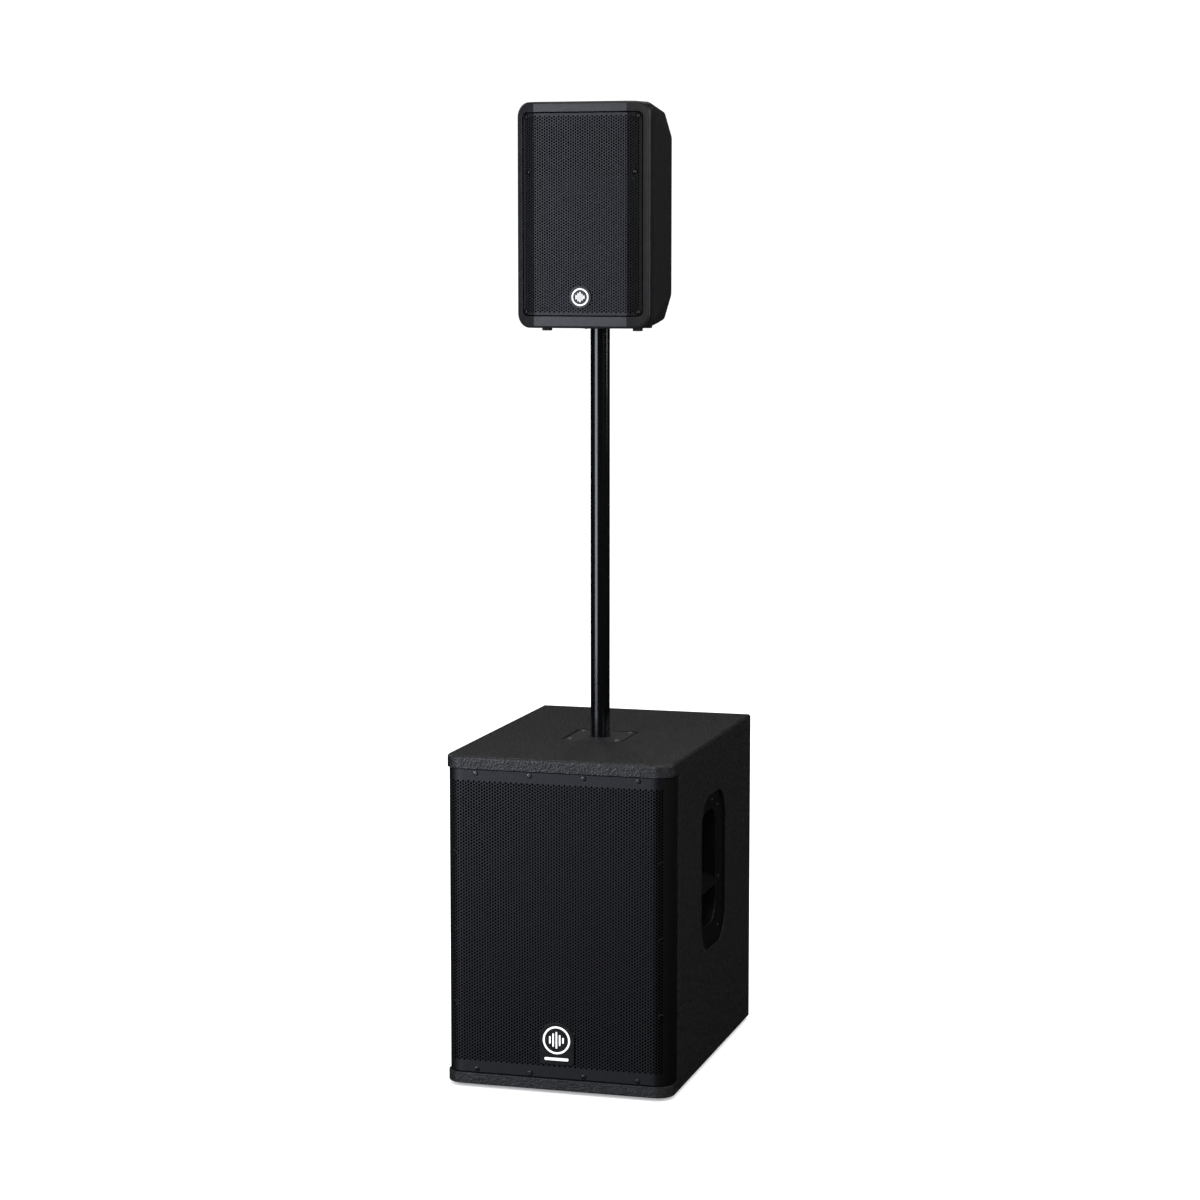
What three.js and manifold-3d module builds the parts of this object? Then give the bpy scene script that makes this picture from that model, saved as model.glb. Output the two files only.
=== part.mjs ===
// A powered two-way loudspeaker on a pole that stands in a powered subwoofer.
// Millimetres, +Z up, +X to the right of the front, +Y towards the back.
// The origin is on the floor, in the middle of the subwoofer's footprint.
import * as THREE from 'three';
import { mergeVertices } from 'three/addons/utils/BufferGeometryUtils.js';
import Module from 'manifold-3d';

const wasm = await Module();
wasm.setup();

// ---- Driving dimensions ------------------------------------------------------------------

const GAP = 0.3; // between neighbouring pieces
const FINE = 28; // sides of a large circle
const MEDIUM = 18; // sides of the circles inside
const COARSE = 16; // sides of a small circle

// Subwoofer cabinet
const SUB_W = 414;
const SUB_D = 600;
const SUB_H = 588;
const FOOT_H = 6;
const FOOT_R = 19;
const FOOT_INSET = 48;
const WALL = 18;
const LIP_TOP = 22;
const LIP_BOTTOM = 20;
const LIP_R = 30;

// Subwoofer grille
const GRILLE_T = 1.5;
const GRILLE_BACK = 3; // behind the front of the lips
const GRILLE_INSET = 2.3; // inside the cabinet's sides
const GRILLE_R = 31;
const GRILLE_WRAP = 53; // how far its ends reach back along the sides
const GRILLE_SEAM = 2; // open line between grille and lips
const FOAM_T = 5;

// Subwoofer front
const BAFFLE_BACK = 42; // from the front of the cabinet to the front of the baffle
const BADGE_Z = 90.6;

// 12-inch woofer and 8-inch woofer: radii, and depths behind the baffle's front face
const BIG_WOOFER = {
  flangeR: 156, basketR: 141, rearR: 80, depth: 90, coilR: 39.5, coneR: 118,
  coneFront: 3, neck: 60, magnetR: 80, magnetT: 36, rollR: 9, capApart: true,
};
const SMALL_WOOFER = {
  flangeR: 103, basketR: 91, rearR: 56, depth: 62, coilR: 25, coneR: 74,
  coneFront: 3, neck: 40, magnetR: 60, magnetT: 26, rollR: 6, capApart: false,
};
const SUB_WOOFER_Z = 366; // above the cabinet's bottom
const TOP_WOOFER_Z = 143; // above the loudspeaker's bottom

// Port of the subwoofer, a flat duct under the woofer
const PORT_W = 300;
const PORT_H = 62;
const PORT_Z = 76;
const PORT_LENGTH = 190;
const PORT_WALL = 4;

// Window brace across the middle of the cabinet
const BRACE = { y: 120, t: 15, border: 45, cornerR: 30 };

// Handles in the subwoofer's sides. Y is measured back from the front
const FLANGE_Y = [220, 396];
const FLANGE_Z = [207, 485];
const CAVITY_Y = [234, 349];
const CAVITY_Z = [246, 456];
const GRIP_Z = [307, 334];
const HANDLE_R = 40; // corners of the cavity
const FLANGE_R = 54; // corners of the flange
const CAVITY_DEPTH = 74;
const GRIP_DEPTH = 30;
const FLANGE_T = 3;
const CUP_WALL = 3;

// Pole, a standard 35 mm tube, and the sockets that hold its ends
const POLE_R = 17.5;
const POLE_WALL = 2;
const POLE_FROM_FRONT = 279;
const BORE_R = 18;
const SOCKET_R = 22;
const SUB_SOCKET_DEPTH = 85;
const TOP_SOCKET_DEPTH = 75;
const TOP_SOCKET_NECK_R = 32;
const TOP_SOCKET_FLANGE_R = 38;
const PLATE_W = 110;
const PLATE_T = 3;
const POLE_VISIBLE = 743;

// Two-way loudspeaker. T is measured back from the outer edges of its front
const TOP_W = 242.5;
const TOP_H = 393.5;
const TOP_D = 231;
const TOP_T0 = -108; // Y of those edges, from the pole's axis
const BOW = 21; // how far the flat middle of the front stands out
const FOLD_X = 84.4;
const SEAM_T = 26; // where front moulding and rear shell meet
const SHELL_T = 4;
const BEZEL_X = 110;
const BEZEL_Z = [20.8, 375.5];
const BEZEL_R = 9;
const BEZEL_SEAM = 2; // open line between the bezel and its grille
const FLOOR_T = [6, 12]; // the panel that carries the drivers
const HORN_W = 196;
const HORN_H = 112;
const HORN_Z = 308;
const HORN_DEPTH = 88;
const TOP_BADGE_Z = 54.5;

// Rear panels
const SUB_PANEL = { w: 240, h: 360, z: 300, y: 282.3, t: 3, lap: 12 };
const TOP_PANEL = { w: 150, h: 216, z: 212, t: 3 };
const SUB_BOARD = { w: 190, h: 300, t: 2, behind: 34 };
const TOP_BOARD = { w: 132, h: 190, t: 1.6, behind: 26 };
const FIN_T = 2.4;

// ---- Derived places ----------------------------------------------------------------------

const FRONT = -SUB_D / 2;
const BACK = SUB_D / 2;
const SUB_Z0 = FOOT_H;
const SUB_Z1 = FOOT_H + SUB_H;
const INNER_X = SUB_W / 2 - WALL;
const INNER_Z0 = SUB_Z0 + LIP_BOTTOM + GAP;
const INNER_Z1 = SUB_Z1 - LIP_TOP - GAP;
const POLE_Y = FRONT + POLE_FROM_FRONT;
const TOP_Z0 = SUB_Z1 + POLE_VISIBLE;
const BAFFLE_Y = FRONT + BAFFLE_BACK;

// ---- Materials ---------------------------------------------------------------------------

const finish = (color, roughness, metalness) => ({ color, roughness, metalness });
const CABINET = finish(0x1b1b1c, 0.7, 0);
const PLASTIC = finish(0x232427, 0.55, 0);
const METAL_BLACK = finish(0x202226, 0.45, 0.6);
const POLE_PAINT = finish(0x0d0d0f, 0.3, 0.4);
const WOOD = finish(0x9a7448, 0.8, 0);
const PAPER = finish(0x17171a, 0.9, 0);
const RUBBER = finish(0x111112, 0.85, 0);
const FOAM = finish(0x141416, 0.95, 0);
const STEEL = finish(0x9a9ca0, 0.35, 0.9);
const BOARD = finish(0x1d5a34, 0.6, 0);
const WHITE = finish(0xe8e8e8, 0.5, 0);

// ---- Solids ------------------------------------------------------------------------------

// A closed geometry as a solid: its shared corners merged, slivers dropped, faces outwards.
function solid(geometry) {
  const bare = new THREE.BufferGeometry();
  bare.setAttribute('position', geometry.getAttribute('position'));
  if (geometry.index) bare.setIndex(geometry.index);
  const merged = mergeVertices(bare, 1e-4);
  const corners = merged.index.array;
  const kept = [];
  for (let i = 0; i < corners.length; i += 3) {
    const [a, b, c] = [corners[i], corners[i + 1], corners[i + 2]];
    if (a !== b && b !== c && c !== a) kept.push(a, b, c);
  }
  const make = (triangles) => new wasm.Manifold(new wasm.Mesh({
    numProp: 3,
    vertProperties: new Float32Array(merged.getAttribute('position').array),
    triVerts: new Uint32Array(triangles),
  }));
  const made = make(kept);
  return made.volume() > 0 ? made : make(kept.reverse());
}

function box(x, y, z) {
  const size = [x[1] - x[0], y[1] - y[0], z[1] - z[0]];
  const centre = [(x[0] + x[1]) / 2, (y[0] + y[1]) / 2, (z[0] + z[1]) / 2];
  return solid(new THREE.BoxGeometry(...size).translate(...centre));
}

// A rectangle with rounded corners, from its limits. The four radii, where they differ, go
// anticlockwise from the corner at both low limits; 0 is a sharp corner.
function roundedRectangle(u, v, radius) {
  const radii = Array.isArray(radius) ? radius : [radius, radius, radius, radius];
  const corners = [
    [u[0], v[0], 1, 1], [u[1], v[0], -1, 1], [u[1], v[1], -1, -1], [u[0], v[1], 1, -1],
  ];
  const shape = new THREE.Shape();
  corners.forEach(([cu, cv, inU, inV], i) => {
    const r = radii[i];
    const start = Math.PI + i * Math.PI / 2;
    if (r > 0) shape.absarc(cu + inU * r, cv + inV * r, r, start, start + Math.PI / 2);
    else if (i === 0) shape.moveTo(cu, cv);
    else shape.lineTo(cu, cv);
  });
  return shape;
}

function polygon(points) {
  return new THREE.Shape(points.map(([u, v]) => new THREE.Vector2(u, v)));
}

// Turns a prism along +Z so that its outline, drawn in (u, v), lies in another plane.
const ALONG = {
  x: new THREE.Matrix4().set(0, 0, 1, 0, 1, 0, 0, 0, 0, 1, 0, 0, 0, 0, 0, 1), // u = y, v = z
  y: new THREE.Matrix4().set(1, 0, 0, 0, 0, 0, 1, 0, 0, 1, 0, 0, 0, 0, 0, 1), // u = x, v = z
  z: new THREE.Matrix4(), // u = x, v = y
};

function prism(shape, axis, limits, curveSegments = 5) {
  const depth = limits[1] - limits[0];
  const geometry = new THREE.ExtrudeGeometry(shape, { depth, bevelEnabled: false, curveSegments });
  return solid(geometry.translate(0, 0, limits[0]).applyMatrix4(ALONG[axis]));
}

// A round solid about an axis along Y or Z through `centre`, from points (radius, along axis).
function turned(profile, axis, centre, sides = FINE) {
  const points = profile.map(([r, a]) => new THREE.Vector2(r, a));
  const closed = [...points, points[0].clone()];
  const geometry = new THREE.LatheGeometry(closed, sides);
  if (axis === 'z') geometry.rotateX(Math.PI / 2);
  return solid(geometry.translate(...centre));
}

function disc(axis, centre, radius, limits, sides = FINE) {
  const [low, high] = limits;
  return turned([[0, low], [radius, low], [radius, high], [0, high]], axis, centre, sides);
}

// A solid through a row of outlines with equal numbers of points; each is {points, y}.
function loft(stations) {
  const count = stations[0].points.length;
  const positions = [];
  const triangles = [];
  for (const { points, y } of stations) for (const p of points) positions.push(p.x, y, p.y);
  for (let s = 0; s + 1 < stations.length; s += 1) {
    for (let i = 0; i < count; i += 1) {
      const j = (i + 1) % count;
      const [a, b] = [s * count + i, s * count + j];
      triangles.push(a, b + count, b, a, a + count, b + count);
    }
  }
  const cap = THREE.ShapeUtils.triangulateShape(stations[0].points, []);
  const last = (stations.length - 1) * count;
  for (const [a, b, c] of cap) {
    triangles.push(a, b, c);
    triangles.push(c + last, b + last, a + last);
  }
  const geometry = new THREE.BufferGeometry();
  geometry.setAttribute('position', new THREE.Float32BufferAttribute(positions, 3));
  geometry.setIndex(triangles);
  return solid(geometry);
}

// Even points round a rectangle with one corner radius, for lofts.
function outline(halfWidth, z, radius, perCorner = 5) {
  const centres = [
    [halfWidth - radius, z[1] - radius], [-halfWidth + radius, z[1] - radius],
    [-halfWidth + radius, z[0] + radius], [halfWidth - radius, z[0] + radius],
  ];
  return centres.flatMap(([x, y], corner) => Array.from({ length: perCorner }, (_, i) => {
    const angle = (corner + i / (perCorner - 1)) * Math.PI / 2;
    return new THREE.Vector2(x + radius * Math.cos(angle), y + radius * Math.sin(angle));
  }));
}

const joined = (...solids) => solids.reduce((a, b) => a.add(b));
const cut = (from, ...tools) => tools.reduce((a, b) => a.subtract(b), from);
const common = (...solids) => solids.reduce((a, b) => a.intersect(b));

function piece(group, name, made, look) {
  const { numProp, vertProperties, triVerts } = made.getMesh();
  if (numProp !== 3) throw new Error(`${name} carries more than positions`);
  const geometry = new THREE.BufferGeometry();
  geometry.setAttribute('position', new THREE.BufferAttribute(new Float32Array(vertProperties), 3));
  geometry.setIndex(new THREE.BufferAttribute(new Uint32Array(triVerts), 1));
  geometry.computeVertexNormals();
  const mesh = new THREE.Mesh(geometry, new THREE.MeshStandardMaterial(look));
  mesh.name = name;
  group.add(mesh);
  return mesh;
}

// ---- Woofers: one set of pieces at two sizes ------------------------------------------------

// All axial places are depths behind the face that the frame is screwed to.
function wooferPieces(group, prefix, d, y, z) {
  const centre = [0, y, z];
  const at = (profile) => turned(profile, 'y', centre, MEDIUM);
  const wall = 2.5;
  const flange = at([
    [d.basketR - 8, -4.3], [d.flangeR, -4.3], [d.flangeR, -GAP], [d.basketR - 8, -GAP],
  ]);
  const basket = at([
    [d.basketR - wall, -1], [d.basketR, -1], [d.basketR, 12], [d.rearR, d.depth - 4],
    [d.rearR, d.depth], [d.coilR + 8, d.depth], [d.coilR + 8, d.depth - 4],
    [d.rearR - wall, d.depth - 4], [d.basketR - wall, 12],
  ]);
  const windows = [0, 1, 2].map((i) => {
    const half = d.coilR * 0.45;
    const slot = box([-d.basketR, d.basketR], [16, d.depth - 12], [-half, half]);
    return slot.rotate([0, 30 + i * 60, 0]).translate(centre);
  });
  piece(group, `${prefix}_woofer_frame`, joined(flange, cut(basket, ...windows)), METAL_BLACK);

  const slope = (d.neck - d.coneFront) / (d.coneR - d.coilR);
  const thick = 1.4;
  const cone = at([
    [d.coilR + 1, d.neck - slope], [d.coneR, d.coneFront], [d.coneR, d.coneFront + thick],
    [d.coilR + 1, d.neck - slope + thick * 1.3],
  ]);
  const capR = d.coilR + 8;
  const capEdge = d.neck - 8 * slope - (d.capApart ? 1.2 : -0.6);
  const cap = at([
    [0, capEdge - capR * 0.32], [capR * 0.55, capEdge - capR * 0.24],
    [capR * 0.85, capEdge - capR * 0.1], [capR, capEdge - 0.8], [capR, capEdge],
    [capR * 0.85, capEdge - capR * 0.1 + 1.2], [capR * 0.55, capEdge - capR * 0.24 + 1.2],
    [0, capEdge - capR * 0.32 + 1.2],
  ]);
  piece(group, `${prefix}_woofer_cone`, d.capApart ? cone : joined(cone, cap), PAPER);
  if (d.capApart) piece(group, `${prefix}_woofer_dust_cap`, cap, PAPER);

  const ring = d.coneR + 0.6;
  const outer = ring + 2 * d.rollR;
  const roll = Array.from({ length: 5 }, (_, i) => Math.PI * i / 4);
  const arc = (r) => roll.map((a) => [ring + d.rollR - r * Math.cos(a), -4.8 - r * Math.sin(a)]);
  piece(group, `${prefix}_woofer_surround`, at([
    ...arc(d.rollR), [outer + 5, -4.8], [outer + 5, -4.6], ...arc(d.rollR - 1.2).reverse(),
    [ring + 1.2, d.coneFront], [ring, d.coneFront],
  ]), RUBBER);

  const spiderY = (d.neck + d.depth) / 2;
  const reach = d.rearR + (d.basketR - d.rearR) * (d.depth - 4 - spiderY) / (d.depth - 16) - wall - 2;
  if (d.capApart) {
    piece(group, `${prefix}_woofer_spider`, at([
      [d.coilR + 0.6, spiderY], [reach, spiderY], [reach, spiderY + 1], [d.coilR + 0.6, spiderY + 1],
    ]), WOOD);
    piece(group, `${prefix}_voice_coil`, at([
      [d.coilR - 1, d.neck + 1.6], [d.coilR, d.neck + 1.6], [d.coilR, d.depth + 16],
      [d.coilR - 1, d.depth + 16],
    ]), STEEL);
  }

  const back = d.depth + GAP;
  piece(group, `${prefix}_woofer_magnet`, at([
    [0, back - 3], [d.coilR - 2, back - 3], [d.coilR - 2, back + d.magnetT - 10],
    [d.coilR + 1.2, back + d.magnetT - 10], [d.coilR + 1.2, back], [d.magnetR - 8, back],
    [d.magnetR - 8, back + 8], [d.magnetR, back + 8], [d.magnetR, back + d.magnetT - 8],
    [d.magnetR - 8, back + d.magnetT - 8], [d.magnetR - 8, back + d.magnetT], [0, back + d.magnetT],
  ]), STEEL);
}

// ---- Controls and connectors, built round a place on a rear panel -----------------------------

const JACK = { r: 12, depth: 20, holeR: 12.4 };
const KNOB_HOLE_R = 3.6;
const INLET = { w: 31, h: 24, flangeW: 50, cavityW: 24.5, cavityH: 17, depth: 17 };
const ROCKER = { w: 13, h: 24 };
const SLIDER = { w: 4, h: 4.5, travel: 4 };

// Each returns the solid; `y` is the outer face of the panel.
function jack(x, y, z) {
  const plate = roundedRectangle([x - 13, x + 13], [z - 15.5, z + 15.5], 2);
  const flange = prism(plate, 'y', [y + GAP, y + 2.2], 2);
  const barrel = disc('y', [x, 0, z], JACK.r, [y - JACK.depth, y + 1.5], COARSE);
  const socket = disc('y', [x, 0, z], JACK.r - 2.4, [y - JACK.depth + 5, y + 3], COARSE);
  return cut(joined(flange, barrel), socket);
}

function mainsInlet(x, y, z) {
  const { w, h, flangeW, cavityW, cavityH, depth } = INLET;
  const block = (width, height, limits) => box(
    [x - width / 2, x + width / 2], limits, [z - height / 2, z + height / 2],
  );
  const flange = block(flangeW, h + 4, [y + GAP, y + 2.5]);
  const body = block(w - 2 * GAP, h - 2 * GAP, [y - depth - 3, y + 1.5]);
  const cavity = block(cavityW, cavityH, [y - depth, y + 3]);
  return cut(joined(flange, body), cavity);
}

function knob(x, y, z, radius, height) {
  const front = y + height;
  const cap = turned([
    [0, y + 1], [radius, y + 1], [radius, front - 1.5], [radius - 1.5, front], [0, front],
  ], 'y', [x, 0, z], COARSE);
  const shaft = disc('y', [x, 0, z], 3, [y - 8, y + 1.5], COARSE);
  const mark = box([x - 0.6, x + 0.6], [front - 1, front + 1], [z + radius * 0.35, z + radius + 1]);
  return cut(joined(cap, shaft), mark);
}

// A rocker with two flats that meet at a shallow angle, pressed in at its lower end.
function rocker(x, y, z) {
  const half = ROCKER.h / 2 - 0.6;
  const shape = polygon([[-9, -3], [-9, 3], [1, half], [4, half], [2, 0], [4, -half], [1, -half]]);
  const limits = [x - ROCKER.w / 2 + 0.6, x + ROCKER.w / 2 - 0.6];
  const turn = new THREE.Matrix4().makeRotationX(THREE.MathUtils.degToRad(8));
  const geometry = new THREE.ExtrudeGeometry(shape, { depth: limits[1] - limits[0], bevelEnabled: false })
    .translate(0, 0, limits[0]).applyMatrix4(ALONG.x).applyMatrix4(turn).translate(0, y, z);
  return solid(geometry);
}

function slider(x, y, z) {
  const low = z - SLIDER.travel / 2 - SLIDER.h / 2;
  return box([x - SLIDER.w / 2, x + SLIDER.w / 2], [y - 6, y + 3], [low, low + SLIDER.h]);
}

const knobHole = (x, y, z) => disc('y', [x, 0, z], KNOB_HOLE_R, [y - 9, y + 9], COARSE);
const jackHole = (x, y, z) => disc('y', [x, 0, z], JACK.holeR, [y - 9, y + 9], COARSE);
const sliderHole = (x, y, z) => box([x - 2.6, x + 2.6], [y - 9, y + 9], [z - 5, z + 5]);
const rockerHole = (x, y, z) => box(
  [x - ROCKER.w / 2, x + ROCKER.w / 2], [y - 9, y + 9], [z - ROCKER.h / 2 - 1, z + ROCKER.h / 2 + 1],
);
const inletHole = (x, y, z) => box(
  [x - INLET.w / 2, x + INLET.w / 2], [y - 9, y + 9], [z - INLET.h / 2, z + INLET.h / 2],
);

// ---- Subwoofer ---------------------------------------------------------------------------

const subwoofer = new THREE.Group();

function lipPlan() {
  return roundedRectangle([-SUB_W / 2, SUB_W / 2], [FRONT, BACK], [LIP_R, LIP_R, 3, 3]);
}

function cabinetPanels() {
  const pocket = PLATE_W / 2 + GAP;
  const top = cut(
    prism(lipPlan(), 'z', [SUB_Z1 - LIP_TOP, SUB_Z1]),
    box([-pocket, pocket], [POLE_Y - pocket, POLE_Y + pocket], [SUB_Z1 - PLATE_T - 2 * GAP, SUB_Z1 + 1]),
    disc('z', [0, POLE_Y, 0], SOCKET_R + 1, [SUB_Z1 - LIP_TOP - 1, SUB_Z1 + 1]),
  );
  piece(subwoofer, 'sub_top_panel', top, CABINET);
  piece(subwoofer, 'sub_bottom_panel', prism(lipPlan(), 'z', [SUB_Z0, SUB_Z0 + LIP_BOTTOM]), CABINET);

  const sideY = [FRONT + GRILLE_WRAP + 2, BACK];
  for (const [name, side] of [['left', -1], ['right', 1]]) {
    const x = side > 0 ? [INNER_X, SUB_W / 2] : [-SUB_W / 2, -INNER_X];
    const panel = cut(
      box(x, sideY, [INNER_Z0, INNER_Z1]),
      handlePrism(side, [-1, WALL + 1], cavityRectangle(CUP_WALL + 0.5)),
      handlePrism(side, [-1, FLANGE_T + GAP], flangeRectangle(0.5)),
    );
    piece(subwoofer, `sub_side_panel_${name}`, panel, CABINET);
  }

  const inner = INNER_X - GAP;
  const baffle = cut(
    box([-inner, inner], [BAFFLE_Y, BAFFLE_Y + WALL], [INNER_Z0, INNER_Z1]),
    disc('y', [0, 0, SUB_Z0 + SUB_WOOFER_Z], BIG_WOOFER.basketR + 2, [BAFFLE_Y - 1, BAFFLE_Y + WALL + 1]),
    portBlock(GAP, [BAFFLE_Y - 1, BAFFLE_Y + WALL + 1]),
  );
  piece(subwoofer, 'sub_baffle', baffle, WOOD);

  const { w, h, z, y, lap } = SUB_PANEL;
  const backPanel = cut(
    box([-inner, inner], [y - GAP - WALL, y - GAP], [INNER_Z0, INNER_Z1]),
    box([-w / 2 + lap, w / 2 - lap], [y - WALL - 5, y], [z - h / 2 + lap, z + h / 2 - lap]),
  );
  piece(subwoofer, 'sub_back_panel', backPanel, CABINET);

  const { border, cornerR } = BRACE;
  const braceY = [BRACE.y, BRACE.y + BRACE.t];
  const windowX = inner - border;
  const window = roundedRectangle(
    [-windowX, windowX], [INNER_Z0 + border, INNER_Z1 - border], cornerR,
  );
  const brace = cut(
    box([-inner, inner], braceY, [INNER_Z0, INNER_Z1]),
    prism(window, 'y', [braceY[0] - 1, braceY[1] + 1]),
  );
  piece(subwoofer, 'sub_brace', brace, WOOD);
}

function portBlock(grow, y) {
  const z = SUB_Z0 + PORT_Z;
  return box([-PORT_W / 2 - grow, PORT_W / 2 + grow], y, [z - PORT_H / 2 - grow, z + PORT_H / 2 + grow]);
}

function port() {
  const y = [BAFFLE_Y, BAFFLE_Y + PORT_LENGTH];
  const duct = cut(portBlock(-GAP, y), portBlock(-PORT_WALL, [y[0] - 1, y[1] + 1]));
  piece(subwoofer, 'sub_port_duct', duct, PLASTIC);
}

function grille() {
  const half = SUB_W / 2 - GRILLE_INSET;
  const [y0, y1] = [FRONT + GRILLE_BACK, FRONT + GRILLE_WRAP];
  const z = [SUB_Z0 + LIP_BOTTOM + GRILLE_SEAM, SUB_Z1 - LIP_TOP - GRILLE_SEAM];
  const skin = (inset, back) => roundedRectangle(
    [-half + inset, half - inset], [y0 + inset, back], [GRILLE_R - inset, GRILLE_R - inset, 0, 0]);
  const sheet = cut(prism(skin(0, y1), 'z', z), prism(skin(GRILLE_T, y1 + 1), 'z', [z[0] - 1, z[1] + 1]));
  piece(subwoofer, 'sub_grille', sheet, METAL_BLACK);
  const foamX = half - GRILLE_R;
  const foamY = y0 + GRILLE_T + GAP;
  piece(subwoofer, 'sub_grille_foam', box([-foamX, foamX], [foamY, foamY + FOAM_T], z), FOAM);

  const plateY = [FRONT + 0.8, y0 - GAP];
  const z0 = SUB_Z0 + BADGE_Z;
  const plate = prism(roundedRectangle([-32, 32], [z0 - 44, z0 + 31], [5, 5, 31, 31]), 'y', plateY);
  const ring = turned([
    [21.5, FRONT], [25, FRONT], [25, FRONT + 1.4], [21.5, FRONT + 1.4],
  ], 'y', [0, 0, z0]);
  piece(subwoofer, 'sub_badge', joined(plate, ring), WHITE);
}

// A prism into one side of the cabinet, over depths below its outer face.
function handlePrism(side, depths, shape) {
  const x = [SUB_W / 2 - depths[1], SUB_W / 2 - depths[0]];
  return side > 0 ? prism(shape, 'x', x) : prism(shape, 'x', [-x[1], -x[0]]);
}

const cavityRectangle = (grow) => roundedRectangle(
  [FRONT + CAVITY_Y[0] - grow, FRONT + CAVITY_Y[1] + grow],
  [SUB_Z0 + CAVITY_Z[0] - grow, SUB_Z0 + CAVITY_Z[1] + grow], HANDLE_R + grow);
const flangeRectangle = (grow) => roundedRectangle(
  [FRONT + FLANGE_Y[0] - grow, FRONT + FLANGE_Y[1] + grow],
  [SUB_Z0 + FLANGE_Z[0] - grow, SUB_Z0 + FLANGE_Z[1] + grow], FLANGE_R + grow);

function handles() {
  for (const [name, side] of [['left', -1], ['right', 1]]) {
    const cup = cut(
      joined(
        handlePrism(side, [0.2, FLANGE_T], flangeRectangle(0)),
        handlePrism(side, [1, CAVITY_DEPTH + CUP_WALL], cavityRectangle(CUP_WALL)),
      ),
      handlePrism(side, [-1, CAVITY_DEPTH], cavityRectangle(0)),
    );
    const grip = handlePrism(side, [0.6, GRIP_DEPTH], roundedRectangle(
      [FRONT + CAVITY_Y[0] - 1, FRONT + CAVITY_Y[1] + 1],
      [SUB_Z0 + GRIP_Z[0], SUB_Z0 + GRIP_Z[1]], 0.5));
    piece(subwoofer, `sub_handle_${name}`, joined(cup, grip), PLASTIC);
  }
}

function subSocket() {
  const half = PLATE_W / 2;
  const square = roundedRectangle([-half, half], [POLE_Y - half, POLE_Y + half], 4);
  const plate = prism(square, 'z', [SUB_Z1 - PLATE_T - GAP, SUB_Z1 - GAP]);
  const cup = disc('z', [0, POLE_Y, 0], SOCKET_R, [SUB_Z1 - SUB_SOCKET_DEPTH - 4, SUB_Z1 - 1]);
  const bore = disc('z', [0, POLE_Y, 0], BORE_R, [SUB_Z1 - SUB_SOCKET_DEPTH - GAP, SUB_Z1 + 1]);
  piece(subwoofer, 'sub_pole_socket', cut(joined(plate, cup), bore), METAL_BLACK);
}

function feet() {
  const x = SUB_W / 2 - FOOT_INSET;
  const y = SUB_D / 2 - FOOT_INSET;
  for (const [name, sx, sy] of [
    ['front_left', -1, -1], ['front_right', 1, -1], ['back_left', -1, 1], ['back_right', 1, 1],
  ]) {
    const foot = turned([
      [0, 0], [FOOT_R - 3, 0], [FOOT_R, FOOT_H - GAP], [0, FOOT_H - GAP],
    ], 'z', [sx * x, sy * y, 0], COARSE);
    piece(subwoofer, `sub_foot_${name}`, foot, RUBBER);
  }
}

function subRear() {
  const { w, h, z, y, t } = SUB_PANEL;
  const face = y + t;
  const at = {
    knob: [70, z - 28], polarity: [25, z - 28], filter: [-20, z - 28],
    input: [70, z - 90], output: [15, z - 90], power: [-70, z - 90], inlet: [-70, z - 140],
  };
  const plate = cut(
    box([-w / 2, w / 2], [y, face], [z - h / 2, z + h / 2]),
    knobHole(at.knob[0], y, at.knob[1]),
    sliderHole(at.polarity[0], y, at.polarity[1]),
    sliderHole(at.filter[0], y, at.filter[1]),
    jackHole(at.input[0], y, at.input[1]),
    jackHole(at.output[0], y, at.output[1]),
    rockerHole(at.power[0], y, at.power[1]),
    inletHole(at.inlet[0], y, at.inlet[1]),
  );
  piece(subwoofer, 'sub_amp_panel', plate, METAL_BLACK);

  const sinkZ = [z + 10, z + h / 2 - 14];
  const base = box([-100, 100], [face + GAP, face + 4], sinkZ);
  const fins = Array.from({ length: 12 }, (_, i) => {
    const x = -98 + i * (194 / 11);
    return box([x - FIN_T / 2, x + FIN_T / 2], [face + 3, BACK - 1], sinkZ);
  });
  piece(subwoofer, 'sub_heat_sink', joined(base, ...fins), METAL_BLACK);

  const boardY = y - SUB_BOARD.behind;
  const board = box(
    [-SUB_BOARD.w / 2, SUB_BOARD.w / 2], [boardY - SUB_BOARD.t, boardY],
    [z - SUB_BOARD.h / 2, z + SUB_BOARD.h / 2],
  );
  const transformer = disc('y', [-35, 0, z + 80], 48, [boardY - 46, boardY - 1]);
  const capacitors = [30, 62].map(
    (x) => disc('y', [x, 0, z + 95], 13, [boardY - 42, boardY - 1], COARSE),
  );
  piece(subwoofer, 'sub_amp_board', joined(board, transformer, ...capacitors), BOARD);

  piece(subwoofer, 'sub_level_knob', knob(at.knob[0], face, at.knob[1], 9, 12), PLASTIC);
  piece(subwoofer, 'sub_polarity_switch', slider(at.polarity[0], face, at.polarity[1]), PLASTIC);
  piece(subwoofer, 'sub_filter_switch', slider(at.filter[0], face, at.filter[1]), PLASTIC);
  piece(subwoofer, 'sub_power_switch', rocker(at.power[0], face, at.power[1]), PLASTIC);
  piece(subwoofer, 'sub_xlr_input', jack(at.input[0], face, at.input[1]), METAL_BLACK);
  piece(subwoofer, 'sub_xlr_output', jack(at.output[0], face, at.output[1]), METAL_BLACK);
  piece(subwoofer, 'sub_mains_inlet', mainsInlet(at.inlet[0], face, at.inlet[1]), PLASTIC);
}

cabinetPanels();
port();
grille();
handles();
subSocket();
feet();
wooferPieces(subwoofer, 'sub', BIG_WOOFER, BAFFLE_Y, SUB_Z0 + SUB_WOOFER_Z);
subRear();

// ---- Pole --------------------------------------------------------------------------------

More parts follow.
